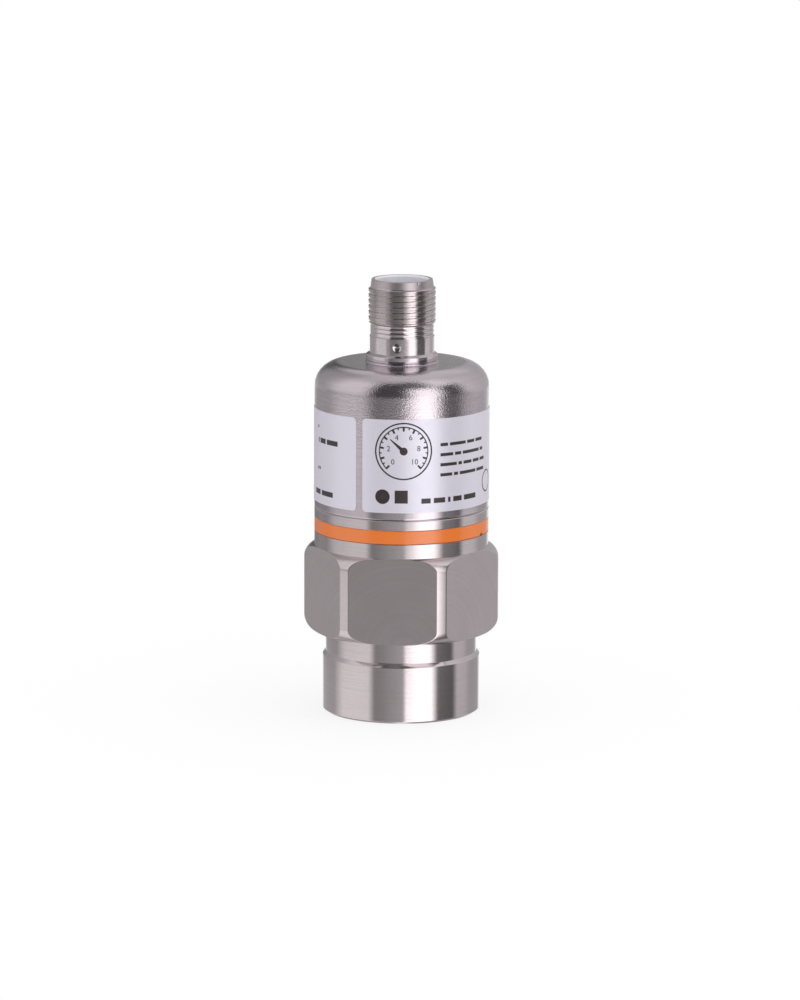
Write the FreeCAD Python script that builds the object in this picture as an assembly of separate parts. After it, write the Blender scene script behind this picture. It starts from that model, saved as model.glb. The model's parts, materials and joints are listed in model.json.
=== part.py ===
import FreeCAD, Part
import math
import os

Vector = FreeCAD.Vector

# Pressure transmitter, millimetres. The origin is the centre of the bottom face, +Z runs up
# the axis to the plug connector, and one flat of the hexagon faces -Y.
# Angles around the axis are in degrees from -Y, positive towards +X.

# Process connection: foot, undercut, hexagon, neck and the spigot inside the can
foot_diameter = 28.0
foot_height = 10.75
foot_edge = 0.35
shoulder_height = 0.7
undercut_depth = 0.55
undercut_height = 3.65
hex_height = 15.55
hex_flat_inset = 0.05
hex_corner_diameter = 34.7
hex_round = 2.5
hex_shoulder_drop = 0.55
neck_diameter = 31.0
neck_below_ring = 2.55
neck_above_ring = 1.8
neck_edge = 0.2
spigot_length = 6.2
spigot_chamfer = 0.5

# Female process thread, drawn as a bore at its minor diameter
port_diameter = 11.445
port_depth = 14.0
port_mouth = 0.9
port_web = 3.5
channel_diameter = 5.0

# Colour ring in its groove, and the vent behind it
ring_height = 2.5
ring_depth = 1.2
ring_edge = 0.25
notch_angle = 71.6
notch_radius = 0.45
vent_diameter = 1.2
filter_diameter = 2.1
filter_thickness = 0.3
filter_recess = 0.45

# Ceramic measuring cell
cell_diameter = 19.0
cell_clearance = 0.3
diaphragm_thickness = 0.7
joint_thickness = 0.1
joint_width = 1.1
cell_base_thickness = 5.5
cell_pin_count = 3
cell_pin_circle = 8.0
cell_pin_diameter = 0.8
cell_vent_diameter = 1.0
cell_vent_circle = 12.4

# Front seal of the cell and the ring that the cell rests on
cell_seal_width = 2.1
cell_seal_circle = 14.0
cell_groove_depth = 1.4
cell_groove_play = 0.1
rest_ring_height = 0.5
rest_ring_gap = 0.25
seal_roundness = 0.42

# Rings that hold the cell down
thrust_ring_height = 1.7
thrust_ring_width = 2.0
thrust_ring_play = 0.1
clamp_ring_height = 4.0
clamp_thread_diameter = 23.0
clamp_travel = 0.4
clamp_slot_count = 4
clamp_slot_width = 2.0
clamp_slot_depth = 1.2
thread_play = 0.05

# Round board behind the cell
cell_board_thickness = 0.8
cell_board_gap = 1.9
cell_board_play = 0.4
pin_hole_play = 0.05
pin_stub = 0.5
solder_height = 0.35
solder_spread = 0.3
sensor_chip_size = 3.5
sensor_chip_height = 0.9

# Carrier with two slotted rails, and the T-shaped main board between them
carrier_base_height = 1.5
carrier_base_width = 3.6
carrier_play = 0.2
rail_depth = 2.2
rail_width = 3.2
rail_gap = 0.6
slot_engagement = 1.0
slot_play = 0.05
board_thickness = 1.0
board_shoulder_gap = 1.1
board_top_gap = 3.1
board_side_gap = 1.7

# Flexible ribbons between the boards
ribbon_thickness = 0.15
ribbon_width = 6.0
ribbon_bend = 0.7
ribbon_tail = 1.8
ribbon_slack = 1.0
ribbon_margin = 0.2

# Parts on the boards
processor_size = 6.0
processor_height = 1.0
converter_size = 4.0
converter_height = 0.9
regulator_length = 6.5
regulator_width = 3.5
regulator_height = 1.6
crystal_length = 3.2
crystal_width = 2.5
crystal_height = 0.8
coil_size = 3.6
coil_height = 2.0
coil_round = 0.6
coil_pitch = 3.8
coil_margin = 0.6
diode_length = 4.3
diode_width = 2.6
diode_height = 2.1
diode_count = 3
diode_pitch = 6.0
transistor_length = 2.9
transistor_width = 1.6
transistor_height = 1.1
transistor_count = 4
transistor_pitch = 4.0
capacitor_length = 2.0
capacitor_width = 1.25
capacitor_height = 0.9
capacitor_count = 4
capacitor_pitch = 2.8
resistor_length = 1.6
resistor_width = 0.8
resistor_height = 0.45
resistor_count = 4
resistor_pitch = 3.4
end_cap_length = 0.3
end_cap_step = 0.03
part_gap = 1.0

# Drawn housing can
can_height = 25.9
can_wall = 0.8
can_corner_radius = 4.35
can_rim_round = 0.3
can_spigot_play = 0.03
collar_inset = 0.05
collar_height = 0.4
collar_fillet = 0.2

# Seal between the can and the spigot
housing_seal_height = 1.7
housing_groove_depth = 1.2
housing_groove_height = 2.4
housing_groove_lift = 1.5

# Type label: one film wrapped round the can, its ends nearly meeting
label_lift = 1.4
label_height = 16.6
label_thickness = 0.1
label_gap = 1.3
label_gap_angle = -22.9
label_corner = 0.7

# Plug connector shell: flange, shank, relief, male thread, lead band
flange_ledge = 0.75
flange_height = 1.05
flange_edge = 0.15
flare_height = 0.4
shank_step = 0.2
shank_height = 2.85
relief_depth = 0.31
relief_height = 2.2
thread_diameter = 11.9
thread_length = 6.6
thread_lead = 0.3
lead_band_step = 0.35
lead_band_height = 1.3
lead_band_taper = 0.18
rim_edge = 0.05
mouth_chamfer = 0.3
shell_wall = 1.45
shell_spigot_wall = 0.65
shell_overhang = 0.35
dimple_lift = 1.35
dimple_angle = -3.0
dimple_diameter = 1.6
dimple_depth = 0.25

# Nut and gasket that hold the shell in the can
nut_across_flats = 15.0
nut_height = 2.2
nut_chamfer = 0.5
gasket_thickness = 0.5
gasket_inset = 0.2

# Contact insert with its key and four contacts
insert_face_depth = 9.0
insert_flange_step = 0.4
insert_flange_height = 1.4
insert_play = 0.05
key_width = 1.4
key_depth = 0.7
key_drop = 2.0
contact_count = 4
contact_circle = 5.5
contact_diameter = 1.0
contact_recess = 1.5
contact_tail_diameter = 0.7
contact_tail_length = 1.5
contact_tip_round = 0.4
insert_seal_height = 1.2
insert_groove_height = 1.4
insert_groove_depth = 0.75
insert_groove_drop = 4.9
connector_board_diameter = 13.0
connector_board_thickness = 0.8
connector_solder_height = 0.5

# Earth spring from the main board to the can
spring_thickness = 0.2
spring_width = 3.0
spring_foot = 2.6
spring_lift = 0.4
spring_tip_angle = 18.0
spring_bend = 0.6

# Heights
hex_bottom = foot_height + undercut_height
hex_top = hex_bottom + hex_height
ring_bottom = hex_top + neck_below_ring
ring_top = ring_bottom + ring_height
can_bottom = ring_top + neck_above_ring
spigot_top = can_bottom + spigot_length
can_top = can_bottom + can_height
can_ceiling = can_top - can_wall
collar_top = can_top + collar_height
cell_floor = port_depth + port_web
diaphragm_bottom = cell_floor + rest_ring_height
joint_bottom = diaphragm_bottom + diaphragm_thickness
cell_base_bottom = joint_bottom + joint_thickness
cell_base_top = cell_base_bottom + cell_base_thickness
thrust_ring_top = cell_base_top + thrust_ring_height
clamp_step = thrust_ring_top - clamp_travel
clamp_ring_top = thrust_ring_top + clamp_ring_height
cell_board_bottom = cell_base_top + cell_board_gap
cell_board_top = cell_board_bottom + cell_board_thickness
carrier_base_top = clamp_ring_top + carrier_base_height
board_shoulder = spigot_top + board_shoulder_gap
rail_top = board_shoulder - rail_gap
flange_top = collar_top + flange_height
flare_top = flange_top + flare_height
shank_top = flare_top + shank_height
thread_bottom = shank_top + relief_height
thread_top = thread_bottom + thread_length
shell_top = thread_top + lead_band_height
gasket_bottom = can_ceiling - gasket_thickness
nut_bottom = gasket_bottom - nut_height
shell_bottom = nut_bottom - shell_overhang
insert_face = shell_top - insert_face_depth
insert_flange_top = shell_bottom + insert_flange_height
insert_groove_bottom = insert_face - insert_groove_drop - insert_groove_height
connector_board_bottom = shell_bottom - connector_board_thickness
board_top = connector_board_bottom - board_top_gap
label_bottom = can_bottom + label_lift
housing_groove_bottom = can_bottom + housing_groove_lift

# Radii
foot_radius = foot_diameter / 2
undercut_radius = foot_radius - undercut_depth
neck_radius = neck_diameter / 2
hex_across_flats = neck_diameter - 2 * hex_flat_inset
can_inner_radius = neck_radius - can_wall
spigot_radius = can_inner_radius - can_spigot_play
ring_groove_radius = neck_radius - ring_depth
cell_bore_radius = cell_diameter / 2 + cell_clearance
clamp_bore_radius = clamp_thread_diameter / 2
cell_seal_inner = (cell_seal_circle - cell_seal_width) / 2
cell_seal_outer = (cell_seal_circle + cell_seal_width) / 2
thrust_outer_radius = cell_bore_radius - thrust_ring_play
thrust_inner_radius = thrust_outer_radius - thrust_ring_width
cell_board_radius = thrust_inner_radius - cell_board_play
carrier_radius = clamp_bore_radius - carrier_play
rail_inner = carrier_radius - rail_depth
board_stem_half = rail_inner + slot_engagement
board_head_half = can_inner_radius - board_side_gap
thread_radius = thread_diameter / 2
shell_bore_radius = thread_radius - shell_wall
insert_radius = shell_bore_radius - insert_play
insert_flange_radius = shell_bore_radius + insert_flange_step
shell_seat_radius = insert_flange_radius + insert_play
shell_spigot_radius = shell_seat_radius + shell_spigot_wall
flange_radius = shell_spigot_radius + flange_ledge
collar_radius = flange_radius - collar_inset
board_front = -board_thickness / 2
board_back = board_thickness / 2


def cylinder(radius, bottom, top, x=0.0, y=0.0):
    return Part.makeCylinder(radius, top - bottom, Vector(x, y, bottom))


def tube(outer, inner, bottom, top):
    return cylinder(outer, bottom, top).cut(cylinder(inner, bottom, top))


def block(x_low, x_high, y_low, y_high, z_low, z_high):
    size = (x_high - x_low, y_high - y_low, z_high - z_low)
    return Part.makeBox(*size, Vector(x_low, y_low, z_low))


def hexagon(across_flats, bottom, top):
    # a six-sided bar with one flat towards -Y
    corner = across_flats / 2 / math.cos(math.radians(30))
    points = [Vector(corner * math.cos(math.radians(a)), corner * math.sin(math.radians(a)), bottom)
              for a in range(0, 361, 60)]
    return Part.Face(Part.makePolygon(points)).extrude(Vector(0, 0, top - bottom))


def around_axis(shape, angle):
    # turns a shape that was made at -Y to its angle, positive towards +X
    turned = shape.copy()
    turned.rotate(Vector(0, 0, 0), Vector(0, 0, 1), angle)
    return turned


def rounded_edges(points, radii, closed):
    # straight runs between the points, with an arc of the given radius at each listed corner
    count = len(points)
    arrive = list(points)
    leave = list(points)
    arcs = {}
    for index, radius in radii.items():
        corner = points[index]
        back = (points[index - 1] - corner).normalize()
        ahead = (points[(index + 1) % count] - corner).normalize()
        half = back.getAngle(ahead) / 2
        reach = radius / math.tan(half)
        middle = (back + ahead).normalize() * (radius / math.sin(half) - radius)
        arrive[index] = corner + back * reach
        leave[index] = corner + ahead * reach
        arcs[index] = Part.Arc(arrive[index], corner + middle, leave[index]).toShape()
    edges = []
    for index in range(count if closed else count - 1):
        following = (index + 1) % count
        if leave[index].distanceToPoint(arrive[following]) > 1e-6:
            edges.append(Part.LineSegment(leave[index], arrive[following]).toShape())
        if following in arcs:
            edges.append(arcs[following])
    return edges


def turned(profile):
    # revolves a closed outline of (radius, height) points about the axis; a third number
    # rounds that corner
    points = [Vector(point[0], 0, point[1]) for point in profile]
    radii = {index: point[2] for index, point in enumerate(profile) if len(point) > 2}
    wire = Part.Wire(rounded_edges(points, radii, True))
    return Part.Face(wire).revolve(Vector(0, 0, 0), Vector(0, 0, 1), 360)


def seal_ring(inner, outer, bottom, top):
    # an O-ring as it sits squeezed: its section is an oblong with large round corners
    corner = seal_roundness * min(outer - inner, top - bottom)
    outline = [(inner, bottom), (outer, bottom), (outer, top), (inner, top)]
    return turned([(radius, height, corner) for radius, height in outline])


def bent_strip(route, bend, thickness, width, place):
    # a strip of even thickness along a route of 2-D points, with one bend radius at its
    # corners; place puts a 2-D point in space at a position across the strip
    sides = ([], [])
    last = len(route) - 1
    for index, (u, v) in enumerate(route):
        before = route[max(index - 1, 0)]
        after = route[min(index + 1, last)]
        start = math.atan2(v - before[1], u - before[0]) if index else None
        end = math.atan2(after[1] - v, after[0] - u) if index < last else None
        start = end if start is None else start
        end = start if end is None else end
        turn = (end - start + math.pi) % (2 * math.pi) - math.pi
        normal = start + turn / 2 + math.pi / 2
        reach = thickness / 2 / math.cos(turn / 2)
        for side, points in zip((1, -1), sides):
            offset = side * reach
            radius = bend - side * math.copysign(thickness / 2, turn)
            points.append((u + offset * math.cos(normal), v + offset * math.sin(normal), radius))
    outline = sides[0] + sides[1][::-1]
    points = [place(u, v, -width / 2) for u, v, radius in outline]
    ends = (0, last, last + 1, len(outline) - 1)
    corners = {i: outline[i][2] for i in range(len(outline)) if i not in ends}
    face = Part.Face(Part.Wire(rounded_edges(points, corners, True)))
    across = place(0, 0, width / 2) - place(0, 0, -width / 2)
    return face.extrude(across)


def in_side_plane(y, z, x):
    return Vector(x, y, z)


# Process connection

def process_connection():
    # one turned bar: outside from the foot up, then the inside from the spigot down
    corner_radius = hex_corner_diameter / 2
    port_radius = port_diameter / 2
    groove_radius = spigot_radius - housing_groove_depth
    groove_top = housing_groove_bottom + housing_groove_height
    seal_inner = cell_seal_inner - cell_groove_play
    seal_outer = cell_seal_outer + cell_groove_play
    seal_floor = cell_floor - cell_groove_depth
    outside = [
        (foot_radius - foot_edge, 0), (foot_radius, foot_edge),
        (foot_radius, foot_height - shoulder_height), (undercut_radius, foot_height),
        (undercut_radius, hex_bottom), (corner_radius, hex_bottom, hex_round),
        (corner_radius, hex_top - hex_shoulder_drop, hex_round), (neck_radius, hex_top),
        (neck_radius, ring_bottom), (ring_groove_radius, ring_bottom),
        (ring_groove_radius, ring_top), (neck_radius, ring_top),
        (neck_radius, can_bottom - neck_edge), (neck_radius - neck_edge, can_bottom),
        (spigot_radius, can_bottom), (spigot_radius, housing_groove_bottom),
        (groove_radius, housing_groove_bottom), (groove_radius, groove_top),
        (spigot_radius, groove_top), (spigot_radius, spigot_top - spigot_chamfer),
        (spigot_radius - spigot_chamfer, spigot_top)]
    inside = [
        (clamp_bore_radius, spigot_top), (clamp_bore_radius, clamp_step),
        (cell_bore_radius, clamp_step), (cell_bore_radius, cell_floor),
        (seal_outer, cell_floor), (seal_outer, seal_floor),
        (seal_inner, seal_floor), (seal_inner, cell_floor),
        (channel_diameter / 2, cell_floor), (channel_diameter / 2, port_depth),
        (port_radius, port_depth), (port_radius, port_mouth), (port_radius + port_mouth, 0)]
    body = turned(outside + inside)
    around_hexagon = cylinder(hex_corner_diameter, hex_bottom, hex_top)
    body = body.cut(around_hexagon.cut(hexagon(hex_across_flats, hex_bottom, hex_top)))
    return body.cut(around_axis(vent_passage(), notch_angle))


def vent_passage():
    # a radial hole from the ring groove to the inside, with a seat for the filter disc
    mouth = Vector(0, -neck_radius, (ring_bottom + ring_top) / 2)
    inwards = Vector(0, 1, 0)
    hole = Part.makeCylinder(vent_diameter / 2, neck_radius, mouth, inwards)
    seat = Part.makeCylinder(filter_diameter / 2, ring_depth + filter_recess, mouth, inwards)
    return hole.fuse(seat)


def vent_filter():
    middle = (ring_bottom + ring_top) / 2
    seat = Vector(0, filter_recess - ring_groove_radius, middle)
    disc = Part.makeCylinder(filter_diameter / 2, filter_thickness, seat, Vector(0, -1, 0))
    return around_axis(disc, notch_angle)


def colour_ring():
    ring = turned([
        (ring_groove_radius, ring_bottom), (neck_radius, ring_bottom, ring_edge),
        (neck_radius, ring_top, ring_edge), (ring_groove_radius, ring_top)])
    edge_point = Vector(0, -neck_radius, ring_bottom)
    notch = Part.makeCylinder(notch_radius, neck_radius, edge_point, Vector(0, 1, 0))
    return ring.cut(around_axis(notch, notch_angle))


# Measuring cell and what holds it

def cell_pin_places():
    # the first pin is at +Y, the others are spaced evenly
    places = []
    for number in range(cell_pin_count):
        angle = math.radians(90 + 360 * number / cell_pin_count)
        places.append((cell_pin_circle / 2 * math.cos(angle), cell_pin_circle / 2 * math.sin(angle)))
    return places


def cell_seal():
    return seal_ring(cell_seal_inner, cell_seal_outer, cell_floor - cell_groove_depth, diaphragm_bottom)


def cell_rest_ring():
    inner = cell_seal_outer + cell_groove_play + rest_ring_gap
    return tube(thrust_outer_radius, inner, cell_floor, diaphragm_bottom)


def cell_diaphragm():
    return cylinder(cell_diameter / 2, diaphragm_bottom, joint_bottom)


def cell_joint_ring():
    return tube(cell_diameter / 2, cell_diameter / 2 - joint_width, joint_bottom, cell_base_bottom)


def cell_base():
    base = cylinder(cell_diameter / 2, cell_base_bottom, cell_base_top)
    for x, y in cell_pin_places():
        base = base.cut(cylinder(cell_pin_diameter / 2, cell_base_bottom, cell_base_top, x, y))
    vent = cylinder(cell_vent_diameter / 2, cell_base_bottom, cell_base_top, 0, -cell_vent_circle / 2)
    return base.cut(vent)


def cell_contact_pins():
    top = cell_board_top + pin_stub
    return [cylinder(cell_pin_diameter / 2, cell_base_bottom, top, x, y) for x, y in cell_pin_places()]


def thrust_ring():
    return tube(thrust_outer_radius, thrust_inner_radius, cell_base_top, thrust_ring_top)


def clamp_ring():
    outer = clamp_bore_radius - thread_play
    ring = tube(outer, thrust_inner_radius, thrust_ring_top, clamp_ring_top)
    half = clamp_slot_width / 2
    for number in range(clamp_slot_count):
        slot = block(-half, half, -outer, 0, clamp_ring_top - clamp_slot_depth, clamp_ring_top)
        ring = ring.cut(around_axis(slot, 45 + 360 * number / clamp_slot_count))
    return ring


# Boards

def solder_cone(x, y, radius, face, height):
    # a collar of solder on a pin; a negative height makes it hang below the face
    direction = Vector(0, 0, math.copysign(1, height))
    cone = Part.makeCone(radius + solder_spread, radius + solder_spread / 4, abs(height),
                         Vector(x, y, face), direction)
    return cone.cut(Part.makeCylinder(radius, abs(height), Vector(x, y, face), direction))


def cell_board():
    board = cylinder(cell_board_radius, cell_board_bottom, cell_board_top)
    radius = cell_pin_diameter / 2 + pin_hole_play
    for x, y in cell_pin_places():
        board = board.cut(cylinder(radius, cell_board_bottom, cell_board_top, x, y))
    return board


def cell_pin_solder():
    radius = cell_pin_diameter / 2
    return [solder_cone(x, y, radius, cell_board_top, solder_height) for x, y in cell_pin_places()]


def board_carrier():
    base = tube(carrier_radius, carrier_radius - carrier_base_width, clamp_ring_top, carrier_base_top)
    inside = cylinder(carrier_radius, carrier_base_top, rail_top)
    slot_half = board_thickness / 2 + slot_play
    for side in (-1, 1):
        ends = sorted((side * rail_inner, side * carrier_radius))
        slot_ends = sorted((side * rail_inner, side * (board_stem_half + slot_play)))
        rail = block(*ends, -rail_width / 2, rail_width / 2, carrier_base_top, rail_top).common(inside)
        slot = block(*slot_ends, -slot_half, slot_half, carrier_base_top, rail_top)
        base = base.fuse(rail.cut(slot))
    return base.removeSplitter()


def main_board():
    stem = block(-board_stem_half, board_stem_half, board_front, board_back,
                 carrier_base_top, board_shoulder)
    head = block(-board_head_half, board_head_half, board_front, board_back, board_shoulder, board_top)
    return stem.fuse(head).removeSplitter()


def connector_board():
    board = cylinder(connector_board_diameter / 2, connector_board_bottom, shell_bottom)
    radius = contact_tail_diameter / 2 + pin_hole_play
    for x, y in contact_places():
        board = board.cut(cylinder(radius, connector_board_bottom, shell_bottom, x, y))
    return board


# Parts soldered to the boards

def on_board(x, z, length, width, height, front=True):
    # a block that stands on the main board with its middle at x, z
    ends = (board_front - height, board_front) if front else (board_back, board_back + height)
    return block(x - length / 2, x + length / 2, *ends, z - width / 2, z + width / 2)


def two_ended(x, z, length, width, height, front=True):
    # a chip capacitor or resistor: a body between two slightly thicker metal ends
    body = on_board(x, z, length - end_cap_length, width - 2 * end_cap_step, height - end_cap_step, front)
    shift = (length - end_cap_length) / 2
    for side in (-1, 1):
        body = body.fuse(on_board(x + side * shift, z, end_cap_length, width, height, front))
    return body


def row_of(count, pitch):
    return [(number - (count - 1) / 2) * pitch for number in range(count)]


def lower_row():
    return board_shoulder + part_gap + capacitor_width / 2


def processor_middle():
    return board_shoulder - processor_size / 2


def sensor_chip():
    half = sensor_chip_size / 2
    return block(-half, half, -half, half, cell_board_top, cell_board_top + sensor_chip_height)


def cell_capacitors():
    chips = []
    y = sensor_chip_size / 2
    for side in (-1, 1):
        x = side * (sensor_chip_size / 2 + part_gap + capacitor_width / 2)
        chips.append(block(x - capacitor_width / 2, x + capacitor_width / 2, y - capacitor_length / 2,
                           y + capacitor_length / 2, cell_board_top, cell_board_top + capacitor_height))
    return chips


def processor_chip():
    return on_board(0, processor_middle(), processor_size, processor_size, processor_height)


def crystal():
    x = (processor_size + crystal_length) / 2 + part_gap
    return on_board(x, processor_middle(), crystal_length, crystal_width, crystal_height)


def converter_chip():
    x = -(ribbon_width + converter_size) / 2 - part_gap
    z = board_top - part_gap - converter_size / 2
    return on_board(x, z, converter_size, converter_size, converter_height)


def filter_coils():
    z = board_top - part_gap - coil_size / 2
    outermost = board_head_half - coil_margin - coil_size / 2
    coils = []
    for x in (outermost - coil_pitch, outermost):
        coil = on_board(x, z, coil_size, coil_size, coil_height)
        upright = [e for e in coil.Edges if abs(e.tangentAt(e.FirstParameter).y) > 0.9]
        coils.append(coil.makeFillet(coil_round, upright))
    return coils


def voltage_regulator():
    z = board_top - 2 * part_gap - diode_width - regulator_width / 2
    return on_board(0, z, regulator_length, regulator_width, regulator_height, False)


def surge_diodes():
    z = board_top - part_gap - diode_width / 2
    return [on_board(x, z, diode_length, diode_width, diode_height, False)
            for x in row_of(diode_count, diode_pitch)]


def output_transistors():
    z = board_shoulder - part_gap - transistor_width / 2
    return [on_board(x, z, transistor_length, transistor_width, transistor_height, False)
            for x in row_of(transistor_count, transistor_pitch)]


def board_capacitors():
    middle = -board_head_half / 2
    return [two_ended(middle + x, lower_row(), capacitor_length, capacitor_width, capacitor_height)
            for x in row_of(capacitor_count, capacitor_pitch)]


def board_resistors():
    chips = []
    first = board_shoulder - 2 * part_gap - transistor_width - resistor_width
    for z in (first, first - 2 * part_gap - resistor_width):
        for x in row_of(resistor_count, resistor_pitch):
            chips.append(two_ended(x, z, resistor_length, resistor_width, resistor_height, False))
    return chips


def lower_ribbon():
    # flat on the cell board, up, and flat against the front of the main board
    half = ribbon_thickness / 2
    start = -math.sqrt((cell_board_radius - ribbon_margin) ** 2 - (ribbon_width / 2) ** 2)
    bend = start + ribbon_tail
    face = board_front - half
    low = cell_board_top + half
    rise = carrier_base_top - ribbon_slack
    landing = carrier_base_top + 2 * ribbon_slack
    route = [(start, low), (bend, low), (bend, rise), (face, landing), (face, landing + ribbon_tail)]
    return bent_strip(route, ribbon_bend, ribbon_thickness, ribbon_width, in_side_plane)


def upper_ribbon():
    # off the top of the main board, forward, and folded back flat under the connector board
    half = ribbon_thickness / 2
    face = board_front - half
    over = board_top + ribbon_slack
    under = connector_board_bottom - half
    reach = math.sqrt((connector_board_diameter / 2 - ribbon_margin) ** 2 - (ribbon_width / 2) ** 2)
    route = [(face, board_top - ribbon_tail), (face, over), (-reach, over),
             (-reach, under), (ribbon_tail - reach, under)]
    return bent_strip(route, ribbon_bend, ribbon_thickness, ribbon_width, in_side_plane)


def earth_spring():
    # a leaf on the front of the main board, bent forward until its end touches the can
    half = spring_thickness / 2
    face = board_front - half
    middle = board_shoulder + spring_lift + spring_width / 2
    foot_start = board_head_half - spring_foot
    angle = math.radians(spring_tip_angle)
    touch = can_inner_radius - half
    tip = (touch * math.cos(angle), -touch * math.sin(angle))
    route = [(foot_start, face), (board_head_half + spring_bend, face), tip]

    def level(x, y, z):
        return Vector(x, y, middle + z)
    return bent_strip(route, spring_bend, spring_thickness, spring_width, level)


# Housing can, its seal and its label

def housing_can():
    hole_radius = shell_spigot_radius + thread_play
    return turned([
        (neck_radius, can_bottom, can_rim_round), (neck_radius, can_top, can_corner_radius),
        (collar_radius, can_top, collar_fillet), (collar_radius, collar_top),
        (hole_radius, collar_top), (hole_radius, can_ceiling),
        (can_inner_radius, can_ceiling, can_corner_radius - can_wall), (can_inner_radius, can_bottom)])


def housing_seal():
    middle = housing_groove_bottom + housing_groove_height / 2
    half = housing_seal_height / 2
    return seal_ring(spigot_radius - housing_groove_depth, can_inner_radius, middle - half, middle + half)


def type_label():
    # a full sleeve of film, less the gap between its ends with their rounded corners
    top = label_bottom + label_height
    film = tube(neck_radius + label_thickness, neck_radius, label_bottom, top)
    reach = label_gap / 2 + label_corner
    far = -2 * neck_radius
    gap = block(-reach, reach, far, 0, label_bottom, top)
    for side in (-1, 1):
        ends = sorted((side * label_gap / 2, side * neck_radius))
        end = block(*ends, far, 0, label_bottom, top)
        corners = [e for e in end.Edges if abs(e.tangentAt(e.FirstParameter).y) > 0.9
                   and abs(abs(e.CenterOfMass.x) - label_gap / 2) < 1e-6]
        gap = gap.cut(end.makeFillet(label_corner, corners))
    return film.cut(around_axis(gap, label_gap_angle))


# Plug connector

def connector_shell():
    shank_radius = thread_radius - shank_step
    relief_radius = thread_radius - relief_depth
    band_radius = thread_radius - lead_band_step
    rim_radius = band_radius - lead_band_taper
    profile = [
        (shell_spigot_radius, shell_bottom), (shell_spigot_radius, collar_top),
        (flange_radius - flange_edge, collar_top), (flange_radius, collar_top + flange_edge),
        (flange_radius, flange_top), (shank_radius, flare_top),
        (shank_radius, shank_top), (relief_radius, shank_top), (relief_radius, thread_bottom),
        (thread_radius, thread_bottom + thread_lead), (thread_radius, thread_top - thread_lead),
        (band_radius, thread_top), (rim_radius, shell_top - rim_edge),
        (rim_radius - rim_edge, shell_top), (shell_bore_radius + mouth_chamfer, shell_top),
        (shell_bore_radius, shell_top - mouth_chamfer), (shell_bore_radius, insert_flange_top),
        (shell_seat_radius, insert_flange_top), (shell_seat_radius, shell_bottom)]
    shell = turned(profile)
    return shell.cut(around_axis(dimple(), dimple_angle))


def dimple():
    # a shallow round punch mark: the cap of a ball that just enters the shank
    half = dimple_diameter / 2
    ball_radius = (half ** 2 + dimple_depth ** 2) / (2 * dimple_depth)
    outwards = thread_radius - shank_step - dimple_depth + ball_radius
    middle = Vector(0, -outwards, flare_top + dimple_lift)
    return Part.makeSphere(ball_radius, middle)


def shell_gasket():
    outer = nut_across_flats / 2 - gasket_inset
    return tube(outer, shell_spigot_radius + thread_play, gasket_bottom, can_ceiling)


def shell_nut():
    corner = nut_across_flats / 2 / math.cos(math.radians(30))
    profile = [(0, nut_bottom), (corner - nut_chamfer, nut_bottom), (corner, nut_bottom + nut_chamfer),
               (corner, gasket_bottom), (0, gasket_bottom)]
    nut = hexagon(nut_across_flats, nut_bottom, gasket_bottom).common(turned(profile))
    return nut.cut(cylinder(shell_spigot_radius + thread_play, nut_bottom, gasket_bottom))


def contact_places():
    # the contacts stand either side of the key, evenly spaced
    places = []
    for number in range(contact_count):
        angle = math.radians(360 * (number + 0.5) / contact_count - 90)
        places.append((contact_circle / 2 * math.cos(angle), contact_circle / 2 * math.sin(angle)))
    return places


def connector_insert():
    groove_radius = insert_radius - insert_groove_depth
    groove_top = insert_groove_bottom + insert_groove_height
    profile = [
        (0, shell_bottom), (insert_flange_radius, shell_bottom),
        (insert_flange_radius, insert_flange_top), (insert_radius, insert_flange_top),
        (insert_radius, insert_groove_bottom), (groove_radius, insert_groove_bottom),
        (groove_radius, groove_top), (insert_radius, groove_top),
        (insert_radius, insert_face), (0, insert_face)]
    insert = turned(profile)
    key_top = shell_top - key_drop
    key = block(-key_width / 2, key_width / 2, -insert_radius, key_depth - insert_radius,
                insert_face, key_top)
    insert = insert.fuse(key.common(cylinder(insert_radius, insert_face, key_top)))
    for x, y in contact_places():
        insert = insert.cut(cylinder(contact_diameter / 2, shell_bottom, insert_face, x, y))
    return insert


def insert_seal():
    middle = insert_groove_bottom + insert_groove_height / 2
    half = insert_seal_height / 2
    return seal_ring(insert_radius - insert_groove_depth, shell_bore_radius, middle - half, middle + half)


def contact_pins():
    pins = []
    radius = contact_diameter / 2
    tail_radius = contact_tail_diameter / 2
    tip = shell_top - contact_recess
    tail_end = shell_bottom - contact_tail_length
    profile = [(0, tail_end), (tail_radius, tail_end), (tail_radius, shell_bottom),
               (radius, shell_bottom), (radius, tip, contact_tip_round), (0, tip)]
    for x, y in contact_places():
        pin = turned(profile)
        pin.translate(Vector(x, y, 0))
        pins.append(pin)
    return pins


def contact_solder():
    radius = contact_tail_diameter / 2
    return [solder_cone(x, y, radius, connector_board_bottom, -connector_solder_height)
            for x, y in contact_places()]


sub_parts = [
    process_connection, vent_filter, colour_ring,
    cell_seal, cell_rest_ring, cell_diaphragm, cell_joint_ring, cell_base, cell_contact_pins,
    thrust_ring, clamp_ring, cell_board, cell_pin_solder, sensor_chip, cell_capacitors,
    board_carrier, main_board, processor_chip, crystal, converter_chip, filter_coils,
    voltage_regulator, surge_diodes, output_transistors, board_capacitors, board_resistors,
    lower_ribbon, upper_ribbon, earth_spring,
    housing_can, housing_seal, type_label,
    connector_shell, shell_gasket, shell_nut, connector_insert, insert_seal, contact_pins,
    contact_solder, connector_board]

os.makedirs("parts", exist_ok=True)
for make in sub_parts:
    made = make()
    solids = made if isinstance(made, list) else made.Solids
    shape = solids[0] if len(solids) == 1 else Part.makeCompound(solids)
    shape.exportStep("parts/" + make.__name__ + ".step")
    print(make.__name__, len(solids), "solids", round(shape.Volume, 2), "mm3", shape.isValid())
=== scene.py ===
import json
import math

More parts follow.
